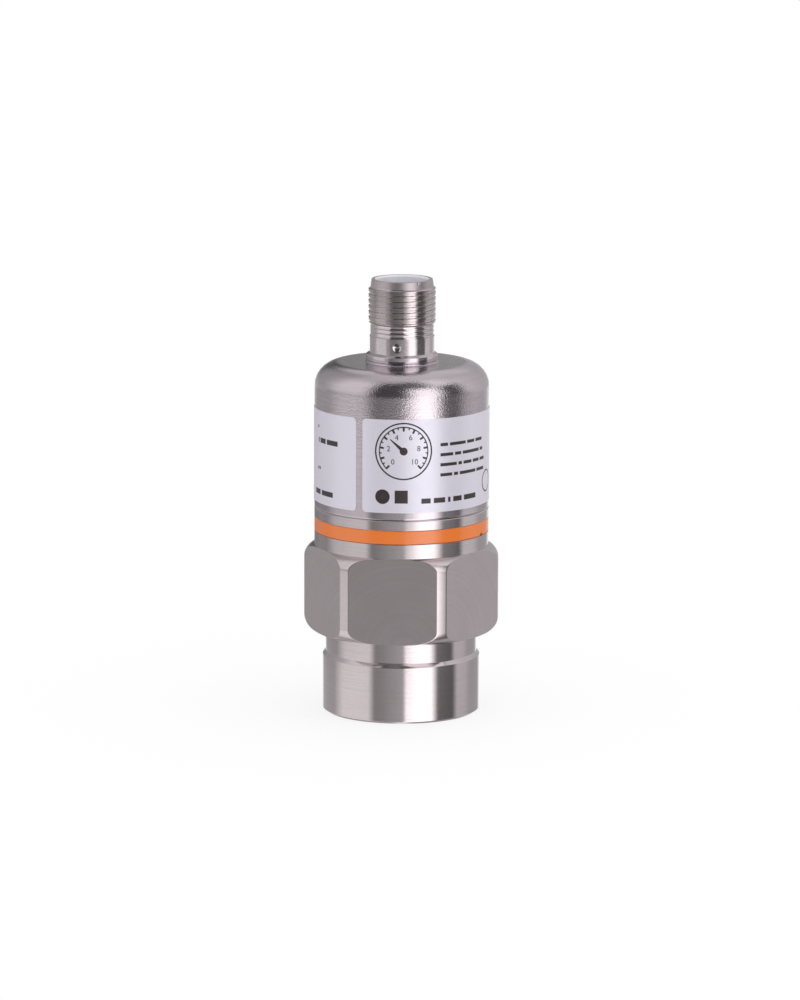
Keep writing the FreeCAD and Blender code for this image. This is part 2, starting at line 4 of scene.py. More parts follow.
import bpy
import numpy as np
from mathutils import Matrix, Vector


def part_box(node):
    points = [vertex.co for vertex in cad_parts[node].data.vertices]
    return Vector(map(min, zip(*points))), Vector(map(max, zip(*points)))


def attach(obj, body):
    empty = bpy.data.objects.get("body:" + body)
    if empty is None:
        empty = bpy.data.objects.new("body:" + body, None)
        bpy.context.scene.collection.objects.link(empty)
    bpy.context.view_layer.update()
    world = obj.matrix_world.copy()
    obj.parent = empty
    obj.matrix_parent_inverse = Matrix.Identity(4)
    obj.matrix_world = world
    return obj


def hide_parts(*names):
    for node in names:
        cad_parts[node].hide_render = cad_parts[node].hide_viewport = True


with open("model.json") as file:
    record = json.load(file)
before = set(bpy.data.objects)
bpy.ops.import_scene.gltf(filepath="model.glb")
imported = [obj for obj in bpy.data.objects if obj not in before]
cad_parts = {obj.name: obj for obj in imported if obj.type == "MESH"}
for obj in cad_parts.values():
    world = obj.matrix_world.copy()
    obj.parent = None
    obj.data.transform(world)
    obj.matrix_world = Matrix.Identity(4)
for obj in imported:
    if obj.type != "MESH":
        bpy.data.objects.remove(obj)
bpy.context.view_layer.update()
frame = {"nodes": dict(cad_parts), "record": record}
print("frame loaded with", len(frame["nodes"]), "pieces")

# Shapes are worked out in millimetres and put into the meshes in metres. A patch is a grid of
# points with a normal for each, and a finish number for its material.
# Bearings go round the axis in degrees, from the front (-Y) towards +X.
mm = 0.001
weldSize = 1e-5         # millimetres; points nearer than this become one
bendSteps = 8           # rows across a rounded corner
closeUpMargin = 1.02    # even bearings keep this far out of a close-up stretch


def extent(node):
    low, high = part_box(node)
    return np.array(low) / mm, np.array(high) / mm


bodyHigh = extent("process_connection")[1]
ringLow, ringHigh = extent("colour_ring")
canLow, canHigh = extent("housing_can")
labelLow, labelHigh = extent("type_label")
shellLow, shellHigh = extent("connector_shell")
neckRadius = ringHigh[0]


# Surfaces

def bearingAngles(bearings):
    return np.radians(np.asarray(bearings, float) - 90)


def roundTrip(count, closeUps=()):
    # even bearings all the way round, with finer ones in the close-up stretches,
    # each given as (middle, half width, steps); the last bearing is the first again
    bearings = np.linspace(-180, 180, count + 1)
    for middle, half, steps in closeUps:
        outside = np.abs(bearings - middle) > half * closeUpMargin
        finer = np.linspace(middle - half, middle + half, steps)
        bearings = np.concatenate([bearings[outside], finer])
    return bearingAngles(np.sort(bearings))


def turnBasis(angles):
    cosines, sines = np.cos(angles), np.sin(angles)
    cosines[-1], sines[-1] = cosines[0], sines[0]
    return cosines, sines


def outlineRuns(corners, closed=False):
    # Corners are (radius, height) or (radius, height, round), with the material on the left.
    # A straight run is its two ends with the normal (dz, -dr) / length. A rounded corner is
    # centre + round * (cos t, sin t) between its two tangent points.
    points = np.array([corner[:2] for corner in corners], float)
    count = len(points)
    arrive, leave, bends = points.copy(), points.copy(), {}
    for index, corner in enumerate(corners):
        if len(corner) < 3:
            continue
        back = points[index - 1] - points[index]
        ahead = points[(index + 1) % count] - points[index]
        back, ahead = back / np.hypot(*back), ahead / np.hypot(*ahead)
        half = math.acos(np.clip(back @ ahead, -1, 1)) / 2
        reach = corner[2] / math.tan(half)
        arrive[index] = points[index] + back * reach
        leave[index] = points[index] + ahead * reach
        inward = (back + ahead) / np.hypot(*(back + ahead))
        centre = points[index] + inward * corner[2] / math.sin(half)
        start = math.atan2(*(arrive[index] - centre)[::-1])
        turn = math.atan2(*(leave[index] - centre)[::-1]) - start
        turn = (turn + math.pi) % (2 * math.pi) - math.pi
        sweep = start + turn * np.linspace(0, 1, bendSteps)
        facing = np.stack([np.cos(sweep), np.sin(sweep)], -1)
        bend = centre + corner[2] * facing
        bend[0], bend[-1] = arrive[index], leave[index]
        bends[index] = (bend, facing * math.copysign(1, turn))
    runs = []
    for index in range(count if closed else count - 1):
        following = (index + 1) % count
        step = arrive[following] - leave[index]
        length = np.hypot(*step)
        if length > weldSize:
            facing = np.array([step[1], -step[0]]) / length
            runs.append((np.array([leave[index], arrive[following]]), np.array([facing, facing])))
        if following in bends:
            runs.append(bends[following])
    return runs


def lathe(run, angles, mask=0.0):
    # point(i, j) = (r_i cos a_j, r_i sin a_j, z_i), and the normals turn the same way
    basis = np.stack([*turnBasis(angles), np.ones_like(angles)], -1)
    places, facings = (values[:, None, [0, 0, 1]] * basis for values in run)
    return places, facings, mask


def turned(corners, angles, closed=False):
    return [lathe(run, angles) for run in outlineRuns(corners, closed)]


def carved(radius, heights, angles, side=1, mask=0.0, up=None):
    # a surface at radius r(height, angle): its normal is (1, -(dr/da) / r, -dr/dz) in the
    # radial, round and upward directions, scaled to length 1; side -1 faces the axis
    cosines, sines = turnBasis(angles)
    around = np.gradient(radius, angles, axis=1) / radius
    around[:, 0] = around[:, -1] = (around[:, 0] + around[:, -1]) / 2
    up = np.gradient(radius, heights, axis=0) if up is None else up
    places = np.stack([radius * cosines, radius * sines, heights[:, None] + 0 * radius], -1)
    facings = np.stack([cosines + around * sines, sines - around * cosines, -up], -1)
    facings *= side / np.linalg.norm(facings, axis=-1, keepdims=True)
    return places, facings, mask


def smoothStep(values, low, high):
    part = np.clip((values - low) / (high - low), 0, 1)
    return part * part * (3 - 2 * part)


def endFade(heights, low, high, reach):
    # 0 at both ends of a stretch, and smoothly up to 1 within the reach from either end
    return smoothStep(heights, low, low + reach) * smoothStep(-heights, -high, reach - high)


def screwRadius(heights, angles, thread, plain, sense):
    # Distance s from the middle of the nearest crest, along the axis: the surface lies below
    # the crest by 0 on the crest's flat, by the full depth on the root's flat and by a slope
    # between. At both ends it fades into the plain radius. Sense -1 is a thread in a bore.
    # Returned with it is its slope along the axis.
    turns = (heights[:, None] - thread["crestHeight"]) / thread["pitch"]
    turns = turns - (angles[None, :] - math.radians(thread["crestBearing"] - 90)) / (2 * math.pi)
    away = (turns - np.round(turns)) * thread["pitch"]
    crest, root = thread["crestWidth"] / 2, (thread["pitch"] - thread["rootWidth"]) / 2
    share = (np.abs(away) - crest) / (root - crest)
    flank = (share > 0) & (share < 1)
    drop = -sense * thread["depth"] * np.clip(share, 0, 1)
    tilt = -sense * thread["depth"] / (root - crest) * flank * np.sign(away)
    fade = endFade(heights, heights[0], heights[-1], thread["runOut"])[:, None]
    lift = thread["crestRadius"] + drop - plain
    radius = plain + lift * fade
    radius[:, -1] = radius[:, 0]
    return radius, tilt * fade + lift * np.gradient(fade, heights, axis=0)


def buildMesh(name, patches):
    # all patches as one mesh with split normals, its finish numbers at the corners
    grids, normals, finishes = zip(*patches)
    places = np.concatenate([grid.reshape(-1, 3) for grid in grids])
    facings = np.concatenate([normal.reshape(-1, 3) for normal in normals])
    masks = [np.full(grid[..., 0].size, mask) for grid, mask in zip(grids, finishes)]
    quads, start = [], 0
    for grid in grids:
        rows, columns = grid.shape[:2]
        spots = np.arange(rows * columns).reshape(rows, columns) + start
        around = [spots[:-1, :-1], spots[:-1, 1:], spots[1:, 1:], spots[1:, :-1]]
        quads.append(np.stack(around, -1).reshape(-1, 4))
        start += rows * columns
    quads = np.concatenate(quads)
    # quads that point against their normals are turned over
    corners = places[quads]
    across = np.cross(corners[:, 2] - corners[:, 0], corners[:, 3] - corners[:, 1])
    inward = np.einsum("ij,ij->i", across, facings[quads].sum(1)) < 0
    quads[inward] = quads[inward, ::-1]
    # points in one place become one, and a quad that this folds to a line is left out
    keys = np.round(places / weldSize).astype(np.int64)
    first, welded = np.unique(keys, axis=0, return_index=True, return_inverse=True)[1:]
    shared = welded.reshape(-1)[quads]
    apart = shared != np.roll(shared, -1, axis=1)
    apart &= (apart.sum(1) > 2)[:, None]
    sizes = apart.sum(1)[apart.any(1)]
    mesh = bpy.data.meshes.new(name)
    mesh.vertices.add(len(first))
    mesh.vertices.foreach_set("co", (places[first] * mm).astype(np.float32).ravel())
    mesh.loops.add(int(sizes.sum()))
    mesh.loops.foreach_set("vertex_index", shared[apart].astype(np.int32))
    mesh.polygons.add(len(sizes))
    mesh.polygons.foreach_set("loop_start", (np.cumsum(sizes) - sizes).astype(np.int32))
    mesh.polygons.foreach_set("loop_total", sizes.astype(np.int32))
    mesh.update(calc_edges=True)
    finish = mesh.attributes.new("finish", "FLOAT", "CORNER")
    finish.data.foreach_set("value", np.concatenate(masks)[quads[apart]].astype(np.float32))
    mesh.normals_split_custom_set(facings[quads[apart]])
    return mesh


def placed(name, data):
    thing = bpy.data.objects.new(name, data)
    bpy.context.scene.collection.objects.link(thing)
    return thing


replaced = set()        # nodes of the frame that a new piece stands in for


def addPiece(name, patches, slotName, material, *nodes):
    # from patches, or from a mesh that is ready
    mesh = patches if isinstance(patches, bpy.types.Mesh) else buildMesh(name, patches)
    piece = placed(name, mesh)
    mesh.materials.append(material)
    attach(piece, "root")
    if nodes:
        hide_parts(*nodes)
        replaced.update(nodes)
    print(name, len(mesh.polygons), "faces")


# Shader helpers

def plug(node, **sockets):
    # gives inputs a value or a link: n0 is the first input, Base_Color the one of that name
    for key, value in sockets.items():
        socket = node.inputs[int(key[1:]) if key[1:].isdigit() else key.replace("_", " ")]
        if isinstance(value, bpy.types.NodeSocket):
            node.id_data.links.new(value, socket)
        else:
            socket.default_value = value
    return node


def addNode(tree, kind, settings=None, **sockets):
    # a new node, with its own options set and its inputs plugged
    node = tree.nodes.new("ShaderNode" + kind)
    for key, value in (settings or {}).items():
        setattr(node, key, value)
    return plug(node, **sockets)


def maths(tree, operation, *values):
    sockets = {"n%d" % index: value for index, value in enumerate(values)}
    return addNode(tree, "Math", {"operation": operation}, **sockets).outputs[0]


def between(tree, share, first, second):
    # a number that goes from the first to the second as the share goes from 0 to 1
    return addNode(tree, "Mix", {"data_type": "FLOAT"}, n0=share, n2=first, n3=second).outputs[0]


def mixColours(tree, share, first, second, blend="MIX"):
    # the same with colours, each of them a socket or (red, green, blue)
    first, second = ((*side, 1) if isinstance(side, tuple) else side for side in (first, second))
    return addNode(tree, "Mix", {"data_type": "RGBA", "blend_type": blend}, n0=share, n6=first,
                   n7=second).outputs[2]


def remap(tree, value, kind="LINEAR", **limits):
    settings = {"interpolation_type": kind}
    return addNode(tree, "MapRange", settings, Value=value, **limits).outputs[0]


def noise(tree, spot, scale, detail, rough):
    return addNode(tree, "TexNoise", Vector=spot, Scale=scale, Detail=detail,
                   Roughness=rough).outputs["Fac"]


def bumped(tree, height):
    # heights are in millimetres, as the distance is
    return addNode(tree, "Bump", Strength=1.0, Distance=mm, Height=height).outputs[0]


def startGroup(name, inputs, outputs):
    # inputs by name with their first values, None for a vector; the outputs are numbers
    group = bpy.data.node_groups.new(name, "ShaderNodeTree")
    for title, value in inputs.items():
        kind = "NodeSocketVector" if value is None else "NodeSocketFloat"
        socket = group.interface.new_socket(title, in_out="INPUT", socket_type=kind)
        if value is not None:
            socket.default_value = value
    for title in outputs:
        group.interface.new_socket(title, in_out="OUTPUT", socket_type="NodeSocketFloat")
    return group, group.nodes.new("NodeGroupInput").outputs, group.nodes.new("NodeGroupOutput")


def useGroup(tree, group, **sockets):
    return addNode(tree, "Group", {"node_tree": group}, **sockets).outputs


def turningMarks():
    # fine rings left by the lathe: noise over (distance from the axis + height), with a slow
    # drift on the way round
    group, given, result = startGroup("turningMarks", {"Vector": None, "Lines per metre": 9000.0},
                                      ["Height"])
    parts = addNode(group, "SeparateXYZ", n0=given["Vector"]).outputs
    squares = [maths(group, "POWER", parts[axis], 2.0) for axis in (0, 1)]
    reach = maths(group, "SQRT", maths(group, "ADD", *squares))
    rings = maths(group, "MULTIPLY", maths(group, "ADD", reach, parts[2]), given["Lines per metre"])
    drift = addNode(group, "VectorMath", {"operation": "SCALE"}, n0=given["Vector"], Scale=60.0)
    drift = addNode(group, "SeparateXYZ", n0=drift.outputs[0]).outputs
    spot = addNode(group, "CombineXYZ", n0=rings, n1=drift[0], n2=drift[1]).outputs[0]
    plug(result, Height=noise(group, spot, scale=1.0, detail=2.0, rough=0.6))
    return group


def fineGrain():
    # small even grain, with a slow cloud over it
    group, given, result = startGroup(
        "fineGrain", {"Vector": None, "Scale": 4000.0, "Cloud scale": 120.0},
        ["Height", "Mask", "Cloud"])
    grain = noise(group, given["Vector"], given["Scale"], detail=2.5, rough=0.65)
    cloud = noise(group, given["Vector"], given["Cloud scale"], detail=3.0, rough=0.55)
    plug(result, Height=grain, Mask=remap(group, grain, From_Min=0.42, From_Max=0.68), Cloud=cloud)
    return group


def cutterArcs():
    # arcs of a face mill across each flat: rings about a point that lies beside the piece
    group, given, result = startGroup(
        "cutterArcs", {"Vector": None, "Centre": None, "Lines per metre": 1600.0}, ["Height"])
    away = addNode(group, "VectorMath", {"operation": "DISTANCE"}, n0=given["Vector"],
                   n1=given["Centre"]).outputs["Value"]
    rings = maths(group, "MULTIPLY", away, given["Lines per metre"])
    spot = addNode(group, "CombineXYZ", n0=rings).outputs[0]
    plug(result, Height=noise(group, spot, scale=1.0, detail=1.5, rough=0.5))
    return group


marksGroup = turningMarks()
grainGroup = fineGrain()
arcsGroup = cutterArcs()
print("shader groups ready")


def startMaterial(name):
    material = bpy.data.materials.new(name)
    material.use_nodes = True
    tree = material.node_tree
    spot = addNode(tree, "TexCoord").outputs["Object"]
    return material, tree, tree.nodes["Principled BSDF"], spot


# The finish number on a mesh picks the coat: 0 is the plain turned steel, 1 the first coat in
# the list, 2 the next, and a number between blends two. The body has milled flats, the can a
# speckled dome, the connector a thread darkened as painted shade, then a brushed rim and a
# bore made pale as painted light.
steelLooks = {
    "body": {"dark": (0.62, 0.555, 0.57), "light": (0.71, 0.635, 0.655), "rough": (0.09, 0.14),
             "lines": 5200.0, "lineDepth": 1.3e-6, "grain": 3200.0, "grainDepth": 1.2e-6,
             "coats": [{"rough": 0.30, "tint": (0.96, 0.96, 0.96), "grainDepth": 1.2e-6}]},
    "can": {"dark": (0.58, 0.52, 0.555), "light": (0.68, 0.605, 0.65), "rough": (0.09, 0.15),
            "lines": 3000.0, "lineDepth": 1.5e-6, "grain": 3500.0, "grainDepth": 1.0e-6,
            "coats": [{"rough": 0.05, "tint": (1.0, 1.0, 1.0), "grainDepth": 42.0e-6}]},
    "connector": {"dark": (0.60, 0.54, 0.555), "light": (0.68, 0.61, 0.63), "rough": (0.05, 0.10),
                  "lines": 7000.0, "lineDepth": 0.35e-6, "grain": 4000.0, "grainDepth": 0.4e-6,
                  # painted shade: the thread's coat tints the steel darker to stand for the shade
                  # in its grooves
                  "coats": [{"rough": 0.06, "tint": (0.90, 0.89, 0.89), "grainDepth": 0.3e-6},
                            {"rough": 0.42, "tint": (0.92, 0.91, 0.92), "grainDepth": 1.0e-6},
                            # painted light: the bore's pale, nearly non-metal coat makes its shaded
                            # hollow read as lit
                            {"rough": 0.34, "litColour": (0.80, 0.80, 0.87), "grainDepth": 1.0e-6,
                             "metallic": 0.1}]},
}


streakContrast = (1.2, -0.7)        # gain and shift from streaks and cloud to the colour's share


def steelMaterial(name, look, milling=None):
    # streaks and cloud choose the colour and fine grain the gloss; then each coat goes over
    # what is there where the finish number reaches it
    material, tree, shader, spot = startMaterial(name)
    finish = addNode(tree, "Attribute", {"attribute_name": "finish"}).outputs["Fac"]
    streak = useGroup(tree, marksGroup, Vector=spot, Lines_per_metre=look["lines"])["Height"]
    grain = useGroup(tree, grainGroup, Vector=spot, Scale=look["grain"])
    lineHeight = maths(tree, "MULTIPLY", streak, look["lineDepth"] / mm)
    if milling:
        arcs = useGroup(tree, arcsGroup, Vector=spot, Centre=milling["centre"],
                        Lines_per_metre=milling["lines"])["Height"]
        arcHeight = maths(tree, "MULTIPLY", arcs, milling["depth"] / mm)
        lineHeight = between(tree, finish, lineHeight, arcHeight)
        streak = between(tree, finish, streak, arcs)
    mask = maths(tree, "ADD", streak, grain["Cloud"])
    mask = maths(tree, "MULTIPLY_ADD", mask, *streakContrast)
    steel = colour = mixColours(tree, mask, look["dark"], look["light"])
    gloss = remap(tree, grain["Mask"], To_Min=look["rough"][0], To_Max=look["rough"][1])
    depth, metallic = look["grainDepth"] / mm, 1.0
    for number, coat in enumerate(look["coats"]):
        share = maths(tree, "SUBTRACT", finish, float(number))
        # a coat with a colour of its own: the bore's pale one, which is painted light
        if "litColour" in coat:
            coated = coat["litColour"]
            metallic = between(tree, share, metallic, coat["metallic"])
        else:
            coated = mixColours(tree, 1.0, steel, coat["tint"], "MULTIPLY")
        colour = mixColours(tree, share, colour, coated)
        gloss = between(tree, share, gloss, coat["rough"])
        depth = between(tree, share, depth, coat["grainDepth"] / mm)
    height = maths(tree, "MULTIPLY_ADD", grain["Height"], depth, lineHeight)
    plug(shader, Base_Color=colour, Metallic=metallic, Roughness=gloss,
         Normal=bumped(tree, height))
    return material


# What a plain look has where it doesn't say otherwise
plainLook = {"metallic": 0.0, "specular": 0.5, "ior": 1.5, "grain": 3000.0, "grainDepth": 1e-6,
             "shadeTo": 0.93, "glossSwing": 0.15}


def plainMaterial(name, look):
    # plastics, rubbers, films and the hidden pieces: a cloud in the colour, a fine grain in
    # the gloss and the surface
    material, tree, shader, spot = startMaterial(name)
    look = {**plainLook, **look}
    grain = useGroup(tree, grainGroup, Vector=spot, Scale=look["grain"])
    dark = tuple(channel * look["shadeTo"] for channel in look["colour"])
    smooth, dull = (look["rough"] * (1 + sense * look["glossSwing"]) for sense in (-1, 1))
    height = maths(tree, "MULTIPLY", grain["Height"], look["grainDepth"] / mm)
    plug(shader, Metallic=look["metallic"], Specular_IOR_Level=look["specular"], IOR=look["ior"],
         Base_Color=mixColours(tree, grain["Cloud"], dark, look["colour"]),
         Roughness=remap(tree, grain["Mask"], To_Min=smooth, To_Max=dull),
         Normal=bumped(tree, height))
    return material


# Process connection: foot, undercut, hexagon, neck, spigot and the threaded port

bodyShape = {
    "footRadius": 14.0, "footHeight": 10.75, "footEdge": 0.35, "footRound": 0.1,
    "shoulderHeight": 0.7, "shoulderRound": 0.12, "undercutDepth": 0.55, "undercutHeight": 3.65,
    "undercutRound": 0.15, "hexHeight": 15.55, "flatInset": 0.05, "hexRound": 2.5,
    "shoulderDrop": 0.55, "edgeRound": 0.2, "cornerFinish": 0.5, "ringDepth": 1.2,
    "ringRound": 0.06, "neckEdge": 0.2, "neckRound": 0.05, "spigotStep": 0.83,
    "spigotChamfer": 0.5, "sealGrooveLift": 1.5, "sealGrooveHeight": 2.4, "sealGrooveDepth": 1.2,
    "clampRadius": 11.5, "clampStep": 25.6, "cellRadius": 9.8, "cellFloor": 17.5,
    "sealInner": 5.85, "sealOuter": 8.15, "sealFloor": 16.1, "channelRadius": 2.5,
    "portDepth": 14.0, "portMouth": 0.9, "mouthRound": 0.1, "flatSteps": 8, "edgeSteps": 5,
    "arcSteps": 36, "undersideSteps": 5, "roundRows": 16, "threadRows": 110,
    "thread": {"pitch": 1.337, "depth": 0.856, "crestWidth": 0.2, "rootWidth": 0.2,
               "crestRadius": 5.7225, "crestHeight": 3.0, "crestBearing": 0.0, "runOut": 0.7,
               "plainEnd": 1.4},
}
millingLook = {"centre": (0.002, -0.012, 0.014), "lines": 1500.0, "depth": 3.0e-6}
milledFlat = 1.0        # finish number of the body's coat


def hexRows(heights, radii, uprights, radials):
    # Section at each height: a hexagon of inner radius a cut by a circle of radius r. The flat
    # reaches w = sqrt(r^2 - a^2) each side of its middle. Columns go flat, rounded edge, arc:
    # flat (a, s w), arc r (cos t, sin t), and a blend of the two normals between.
    shape = bodyShape
    inner = neckRadius - shape["flatInset"]
    half = np.sqrt(radii ** 2 - inner ** 2)[:, None]
    edge = shape["edgeRound"]
    radii = radii[:, None]
    bound = np.arccos(inner / radii)
    side = np.linspace(-1, 1, shape["flatSteps"] + 1)[None, :]
    flat = np.stack([inner + 0 * side * half, side * (half - edge)], -1)
    step = np.linspace(0, 1, shape["arcSteps"] // 2 + 1)[None, :]
    turn = bound + edge / radii + step * (math.pi / 6 - bound - edge / radii)
    arc = radii[..., None] * np.stack([np.cos(turn), np.sin(turn)], -1)
    blend = np.linspace(0, 1, shape["edgeSteps"] + 2)[1:-1][None, :, None]
    tip = np.concatenate([inner + 0 * half, half], -1)[:, None, :]
    bend = (1 - blend) ** 2 * flat[:, -1:, :] + 2 * blend * (1 - blend) * tip
    bend = bend + blend ** 2 * arc[:, :1, :]
    upper = np.concatenate([bend, arc], 1)
    lower = upper[:, ::-1] * np.array([1, -1])
    section = np.concatenate([lower, flat, upper], 1)
    share = np.concatenate([blend[0, :, 0], np.ones(arc.shape[1])])
    share = np.concatenate([share[::-1], np.zeros(flat.shape[1]), share])[None, :, None]
    around = np.arctan2(section[..., 1], section[..., 0])
    radials, uprights = radials[:, None], uprights[:, None] + 0 * around
    arcFacing = np.stack([radials * np.cos(around), radials * np.sin(around), uprights], -1)
    facing = (1 - share) * np.array([1.0, 0, 0]) + share * arcFacing
    facing /= np.linalg.norm(facing, axis=-1, keepdims=True)
    level = heights[:, None] + 0 * around
    return section, level, facing, share[0, :, 0]


def hexPatch(heights, radii, uprights, radials):
    # the same section turned to the six sides, joined into one closed band
    section, level, facing, share = hexRows(heights, radii, uprights, radials)
    places, facings = [], []
    for number in range(6):
        angle = bearingAngles(60 * number)
        turn = np.array([[np.cos(angle), np.sin(angle)], [-np.sin(angle), np.cos(angle)]])
        last = slice(None) if number == 5 else slice(None, -1)
        places.append(np.concatenate([section @ turn, level[..., None]], -1)[:, last])
        facings.append(np.concatenate([facing[..., :2] @ turn, facing[..., 2:]], -1)[:, last])
    places, facings = np.concatenate(places, 1), np.concatenate(facings, 1)
    places[:, -1], facings[:, -1] = places[:, 0], facings[:, 0]
    mask = np.where(share < 0.5, milledFlat, bodyShape["cornerFinish"])
    mask = np.concatenate([np.tile(mask[:-1], 6), mask[:1]])
    return places, facings, np.broadcast_to(mask, places.shape[:2]).ravel()


def bodyPatches():
    shape = bodyShape
    thread = shape["thread"]
    hexBottom = shape["footHeight"] + shape["undercutHeight"]
    hexTop = hexBottom + shape["hexHeight"]

    # the turned envelope of the hexagon: an arc at each end, and a short slope up to the neck
    cornerRadius, hexRound, drop = bodyHigh[0], shape["hexRound"], shape["shoulderDrop"]
    middle = cornerRadius - hexRound
    steepest = math.atan2(cornerRadius - neckRadius, drop)
    touch = middle + hexRound * math.cos(steepest)
    touchHeight = hexTop - drop * (touch - neckRadius) / (cornerRadius - neckRadius)
    meeting = -math.acos((neckRadius - middle) / hexRound)
    lowTurn = np.linspace(meeting, 0, shape["roundRows"])
    highTurn = np.linspace(0, steepest, shape["roundRows"])
    turns = np.concatenate([lowTurn, highTurn, [steepest]])
    radii = np.append(middle + hexRound * np.cos(turns[:-1]), neckRadius)
    radii[0] = neckRadius
    lowPart = hexBottom + hexRound * (1 + np.sin(lowTurn))
    highPart = touchHeight + hexRound * (np.sin(highTurn) - math.sin(steepest))
    heights = np.concatenate([lowPart, highPart, [hexTop]])
    hexagon = hexPatch(heights, radii, np.sin(turns), np.cos(turns))
    below, above = hexagon[0][0], hexagon[0][-1]
    angles = np.unwrap(np.arctan2(below[:, 1], below[:, 0]))

    # the same arc goes on inwards under the hexagon, and a flat step joins its top to the neck
    under = np.linspace(-math.pi / 2, meeting, shape["undersideSteps"])
    facing = np.stack([np.cos(under), np.sin(under)], -1)
    underside = lathe((hexRound * facing + [middle, hexBottom + hexRound], facing), angles)
    underside[0][-1] = below
    rim = np.stack([neckRadius * np.cos(angles), neckRadius * np.sin(angles), above[:, 2]], -1)
    rim[-1] = rim[0]
    step = (np.stack([rim, above]), np.broadcast_to([0, 0, -1.0], (2, *above.shape)), 0.0)
    patches = [hexagon, underside, step]

    # foot and undercut, then neck, ring groove, spigot and the steps of the bore
    foot, footTop, edge = shape["footRadius"], shape["footHeight"], shape["footEdge"]
    undercut = foot - shape["undercutDepth"]
    lower = [(foot - edge, 0), (foot, edge, shape["footRound"]),
             (foot, footTop - shape["shoulderHeight"], shape["shoulderRound"]),
             (undercut, footTop, shape["undercutRound"]), (undercut, hexBottom),
             (middle, hexBottom)]
    ringRound, groove = shape["ringRound"], neckRadius - shape["ringDepth"]
    canBottom, neckEdge = canLow[2], shape["neckEdge"]
    spigot, chamfer, top = neckRadius - shape["spigotStep"], shape["spigotChamfer"], bodyHigh[2]
    sealGroove = spigot - shape["sealGrooveDepth"]
    grooveLow = canBottom + shape["sealGrooveLift"]
    grooveHigh = grooveLow + shape["sealGrooveHeight"]
    clamp, clampStep = shape["clampRadius"], shape["clampStep"]
    cell, cellFloor = shape["cellRadius"], shape["cellFloor"]
    sealInner, sealOuter, sealFloor = shape["sealInner"], shape["sealOuter"], shape["sealFloor"]
    channel, port, portTop = shape["channelRadius"], thread["crestRadius"], shape["portDepth"]
    threadTop, mouth = portTop - thread["plainEnd"], shape["portMouth"]
    upper = [
        (neckRadius, hexTop), (neckRadius, ringLow[2], ringRound), (groove, ringLow[2]),
        (groove, ringHigh[2]), (neckRadius, ringHigh[2], ringRound),
        (neckRadius, canBottom - neckEdge, shape["neckRound"]), (neckRadius - neckEdge, canBottom),
        (spigot, canBottom), (spigot, grooveLow), (sealGroove, grooveLow),
        (sealGroove, grooveHigh), (spigot, grooveHigh), (spigot, top - chamfer),
        (spigot - chamfer, top), (clamp, top), (clamp, clampStep), (cell, clampStep),
        (cell, cellFloor), (sealOuter, cellFloor), (sealOuter, sealFloor), (sealInner, sealFloor),
        (sealInner, cellFloor), (channel, cellFloor), (channel, portTop), (port, portTop),
        (port, threadTop)]
    lip = [(port, mouth), (port + mouth, 0, shape["mouthRound"]), (foot - edge, 0)]
    for corners in (lower, upper, lip):
        patches += turned(corners, angles)

    # the thread in the port
    heights = np.linspace(mouth, threadTop, shape["threadRows"])
    screw, slope = screwRadius(heights, angles, thread, port, -1)
    return [*patches, carved(screw, heights, angles, side=-1, up=slope)]


bodySteel = steelMaterial("body_steel", steelLooks["body"], millingLook)
addPiece("body_turned", bodyPatches(), "body_steel", bodySteel, "process_connection")


# Colour ring with the notch in its lower edge

ringShape = {"edge": 0.25, "notchBearing": 71.6, "notchRadius": 0.45, "steps": 240,
             "closeUp": 2.2, "closeUpSteps": 61}
ringLook = {"colour": (0.84, 0.19, 0.014), "rough": 0.2, "specular": 0.95, "ior": 1.56,
            "grain": 2200.0, "grainDepth": 1.0e-6, "shadeTo": 0.96}


def ringPatches():
    # a turned section; under the notch each height is squeezed upwards by sqrt(n^2 - s^2),
    # where s is the distance round from the notch's middle
    shape = ringShape
    groove = neckRadius - bodyShape["ringDepth"]
    bottom, top = ringLow[2], ringHigh[2]
    corners = [(groove, bottom), (neckRadius, bottom, shape["edge"]),
               (neckRadius, top, shape["edge"]), (groove, top)]
    closeUp = (shape["notchBearing"], shape["closeUp"], shape["closeUpSteps"])
    angles = roundTrip(shape["steps"], [closeUp])
    away = (angles - bearingAngles(shape["notchBearing"])) * neckRadius
    lift = np.sqrt(np.clip(shape["notchRadius"] ** 2 - away ** 2, 0, None))
    patches = turned(corners, angles, closed=True)
    for places, *_ in patches:
        places[..., 2] = top - (top - places[..., 2]) * (1 - lift / (top - bottom))
    return patches


ringPlastic = plainMaterial("ring_plastic", ringLook)
addPiece("ring_band", ringPatches(), "ring_plastic", ringPlastic, "colour_ring")


# Housing can

# The rows and the speckle are placed in millimetres from the label's upper edge.
canShape = {"wall": 0.8, "cornerRadius": 4.35, "rimRound": 0.3, "collarInset": 0.05,
            "collarFillet": 0.2, "collarHeight": 0.4, "holeRadius": 5.65, "rows": (-9.8, 1.2),
            "speckle": (-8.8, 0.2), "steps": 360}


def canPatches():
    # a turned section with its wall; the finish number goes from 0 to 1 over the speckle's start
    shape = canShape
    wall, corner, hole = shape["wall"], shape["cornerRadius"], shape["holeRadius"]
    radius, bottom, collarTop = canHigh[0], canLow[2], canHigh[2]
    top = collarTop - shape["collarHeight"]
    collar = shellHigh[0] - shape["collarInset"]
    rows = [(radius, labelHigh[2] + lift) for lift in shape["rows"]]
    corners = [(radius, bottom, shape["rimRound"]), *rows, (radius, top, corner),
               (collar, top, shape["collarFillet"]), (collar, collarTop), (hole, collarTop),
               (hole, top - wall), (radius - wall, top - wall, corner - wall),
               (radius - wall, bottom)]
    return [(places, facings,
             smoothStep(places[..., 2] - labelHigh[2], *shape["speckle"]).ravel())
            for places, facings, _ in turned(corners, roundTrip(shape["steps"]), closed=True)]


canSteel = steelMaterial("can_steel", steelLooks["can"])
addPiece("can_drawn", canPatches(), "can_steel", canSteel, "housing_can")


# Type label: the film and its print

